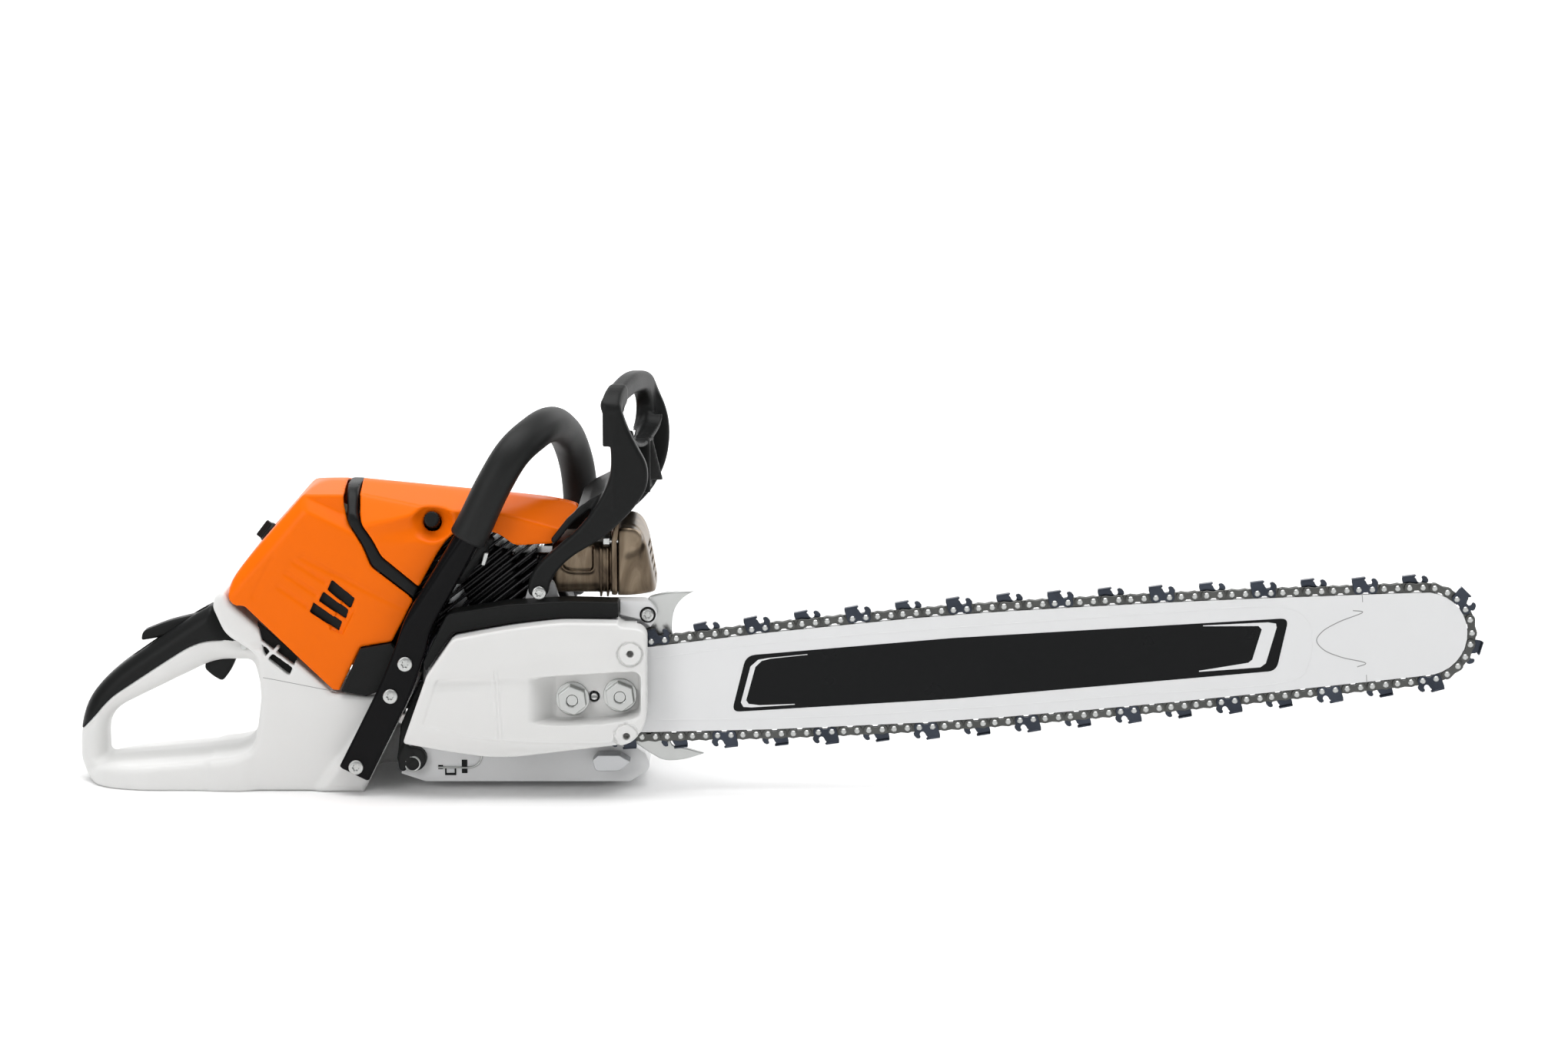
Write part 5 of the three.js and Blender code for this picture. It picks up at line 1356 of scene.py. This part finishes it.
saw_chain()
bar_marks()
tank_seam()


# ---- left side ----
STARTER_TOP = [
    (-62, 90, 6), (62, 90, 6), (56, 134, 12), (44, 143, 8), (-24, 150, 12), (-48, 120, 10),
]
STARTER_VENTS = 7
VENT_SPACING = 12
STARTER_RADIUS = 67.5
STARTER_FACE = 84
CAP_RIBS = 30


def starter_cover():
    block = Block((-67.6, 30.6, 0.4), (67.6, 84, 159), 1.1)
    x, y, z = block.x, block.y, block.z
    reach, _ = side_view(block, (0, CRANK_Z))
    fall = 8 * ramp(reach, 40, 67)
    shape = slab(reach - STARTER_RADIUS, y, 30.6, STARTER_FACE - fall, 3)
    shape = merged(shape, prism(block, STARTER_TOP, 30.6, 78, 5), 6)
    lug = [(28.2, 138), (28.2, 158.8, 8), (49.8, 158.8, 8), (49.8, 138)]
    shape = merged(shape, prism(block, lug, 68.6, 80, 1.5), 2)
    shape = carved(shape, prism(block, [(24, 141), (24, 172), (52, 172), (52, 141)], 55, 68.6))
    floor = 81.2 - 7 * ramp(reach, 33, 40)
    for i in range(STARTER_VENTS):
        step = i - STARTER_VENTS // 2
        half = 47 - 4 * abs(step)
        level = CRANK_Z + VENT_SPACING * step
        vent = flat_bar(block, (-half, level), (half, level), 2.6)
        shape = carved(shape, slab(vent, y, floor, 120), 1)
    shape = carved(shape, slab(np.abs(reach - 57.5) - 0.9, y, 79.2 - fall + 3.4, 120), 1)
    hub = slab(reach - 13, y, 78, STARTER_FACE, 1.2)
    shape = merged(shape, hub, 1)
    shape = carved(shape, slab(reach - 65, y, 20, 66))
    shape = carved(shape, slab(reach - 32, y, 60, 80))
    shape = merged(shape, slab(reach - 6, y, 67, 83))
    shape = carved(shape, prism(block, rectangle(-26, 120, 26, 144), 20, 52))
    shape = carved(shape, drum(block, *GUARD_PIVOT, 2.8, 60, 90))
    shape = carved(shape, bar_between(block, (-14, 74, 134), (-14, 74, 162), 4))
    moulded(block, shape, "starter_cover")


def left_screw(name, x, z, top):
    """Domed screw head that faces the saw's left side."""
    block = Block((x - 5, top - 5, z - 5), (x + 5, top, z + 5), 0.35)
    reach, angle = side_view(block, (x, z))
    head = slab(reach - 4.7, block.y, top - 4.5, top - HEAD_DOME * reach ** 2, 0.5)
    socket = slab(reach - 2.1 - 0.4 * np.cos(SOCKET_LOBES * angle), block.y, top - 2, top + 2)
    moulded(block, carved(head, socket, 0.3), "guard_pivot_screw_left", name)


def filler_cap(node, x, z, radius, back, face):
    """Ribbed cap with a dished face and a wing to turn it by."""
    block = Block((x - radius, back, z - radius), (x + radius, face + 5, z + radius), 0.6)
    across, up = block.x - x, block.z - z
    reach, angle = side_view(block, (x, z))
    ribs = 0.35 * (1 + np.cos(CAP_RIBS * angle))
    shape = slab(reach - radius + ribs, block.y, back, face, 1.2)
    shape = carved(shape, slab(reach - radius + 3.4, block.y, face - 2.6, face + 9, 0.8), 0.8)
    wing = slab(np.maximum(np.abs(up) - 2.1 - 0.05 * np.abs(across), np.abs(across) - 0.7 * radius),
                block.y, face - 4, face + 4.8, 1)
    moulded(block, merged(shape, wing, 1.2), node)


starter_cover()
for number, (screw_x, screw_z) in enumerate([(-51, 103), (53, 103), (-40, 24), (40, 24)], 1):
    left_screw(f"starter_screw_{number}", screw_x, screw_z, 79)
filler_cap("fuel_cap", *FUEL_FILLER, 17.5, 30.2, 48)
filler_cap("oil_cap", *OIL_FILLER, 13.5, 16.2, 30)


# ---- the other CAD nodes, with rounded edges ----
PLAIN_BEVEL = 0.4
BEVELS = {
    "brake_side_cover": 1.4, "crankcase_right": 1.4, "crankcase_left": 1.4, "starter_grip": 1.5,
    "chain_catcher": 0.8,
}
for node in NODE_SLOT:
    if node not in drawn_nodes:
        refined(node, BEVELS.get(node, PLAIN_BEVEL))


# ---- stage, lights and camera ----
VIEW_ELEVATION = math.radians(9)
VIEW_DISTANCE = 3.0
PIXELS_PER_METRE = 1780
IMAGE_WIDTH = 2040
SENSOR = 36
LOOK_AT = Vector((0.21685, -0.048, 0.20078))
FLOOR_GLOW, WALL_GLOW = 0.02, 0.85    # the backdrop's own light near the saw and far from it
GLOW_START, GLOW_END = 0.75, 2.2      # metres from the saw's middle
FLOOR_HALF, BEND_START, BEND_RADIUS, BEND_STEPS, WALL_TOP = 30, 9, 1.5, 16, 8
WORLD_LIGHT = 0.2


def backdrop():
    """Pale floor that bends up into a wall behind the saw."""
    material, tree, shader = new_material("stage_white", (0.9, 0.9, 0.9), 0.9)
    place = add_node(tree, "TexCoord", {}).outputs["Object"]
    reach = add_node(tree, "VectorMath", {0: place, 1: (LOOK_AT.x, 0, 0)})
    reach.operation = "DISTANCE"
    glow = ranged(tree, reach.outputs["Value"], {
        "From Min": GLOW_START, "From Max": GLOW_END, "To Min": FLOOR_GLOW, "To Max": WALL_GLOW,
    })
    set_inputs(tree, shader, {"Emission Color": (1, 1, 1, 1), "Emission Strength": glow})
    profile = [(-FLOOR_HALF, 0)]
    for i in range(BEND_STEPS + 1):
        angle = math.pi / 2 * i / BEND_STEPS
        profile.append((BEND_START + BEND_RADIUS * math.sin(angle),
                        BEND_RADIUS * (1 - math.cos(angle))))
    profile.append((BEND_START + BEND_RADIUS, WALL_TOP))
    points = [(side * FLOOR_HALF / MM, y / MM, z / MM) for y, z in profile for side in (-1, 1)]
    faces = [(2 * i, 2 * i + 1, 2 * i + 3, 2 * i + 2) for i in range(len(profile) - 1)]
    mesh = mesh_of("backdrop", points, faces)
    mesh.materials.append(material)
    floor = bpy.data.objects.new("backdrop", mesh)
    bpy.context.scene.collection.objects.link(floor)


def area_light(name, where, aim, size, power, size_y=None):
    data = bpy.data.lights.new(name, "AREA")
    data.energy = power
    data.size = size
    if size_y:
        data.shape = "RECTANGLE"
        data.size_y = size_y
    lamp = bpy.data.objects.new(name, data)
    lamp.location = where
    lamp.rotation_euler = (Vector(aim) - Vector(where)).to_track_quat("-Z", "Y").to_euler()
    bpy.context.scene.collection.objects.link(lamp)


def studio():
    backdrop()
    world = bpy.data.worlds.new("studio")
    world.use_nodes = True
    sky = world.node_tree.nodes["Background"]
    set_inputs(world.node_tree, sky, {"Color": (1, 1, 1, 1), "Strength": WORLD_LIGHT})
    bpy.context.scene.world = world
    area_light("top_light", (0.1, -0.1, 2.4), (0.2, 0.1, 0), 3.4, 78, 2.0)
    area_light("front_light", (-1.5, -2.4, 1.3), (0.1, 0, 0.12), 1.2, 22)
    area_light("rim_light", (1.8, 1.4, 1.2), (0.1, 0, 0.15), 1.0, 8)
    bpy.context.scene.view_settings.view_transform = "Standard"


def camera():
    data = bpy.data.cameras.new("camera")
    data.sensor_width = SENSOR
    data.lens = SENSOR * PIXELS_PER_METRE * VIEW_DISTANCE / IMAGE_WIDTH
    data.clip_start = 0.05
    view = bpy.data.objects.new("camera", data)
    towards_saw = Vector((0, math.cos(VIEW_ELEVATION), -math.sin(VIEW_ELEVATION)))
    view.location = LOOK_AT - VIEW_DISTANCE * towards_saw
    view.rotation_euler = (LOOK_AT - view.location).to_track_quat("-Z", "Y").to_euler()
    bpy.context.scene.collection.objects.link(view)
    bpy.context.scene.camera = view


studio()
camera()

bpy.context.view_layer.update()
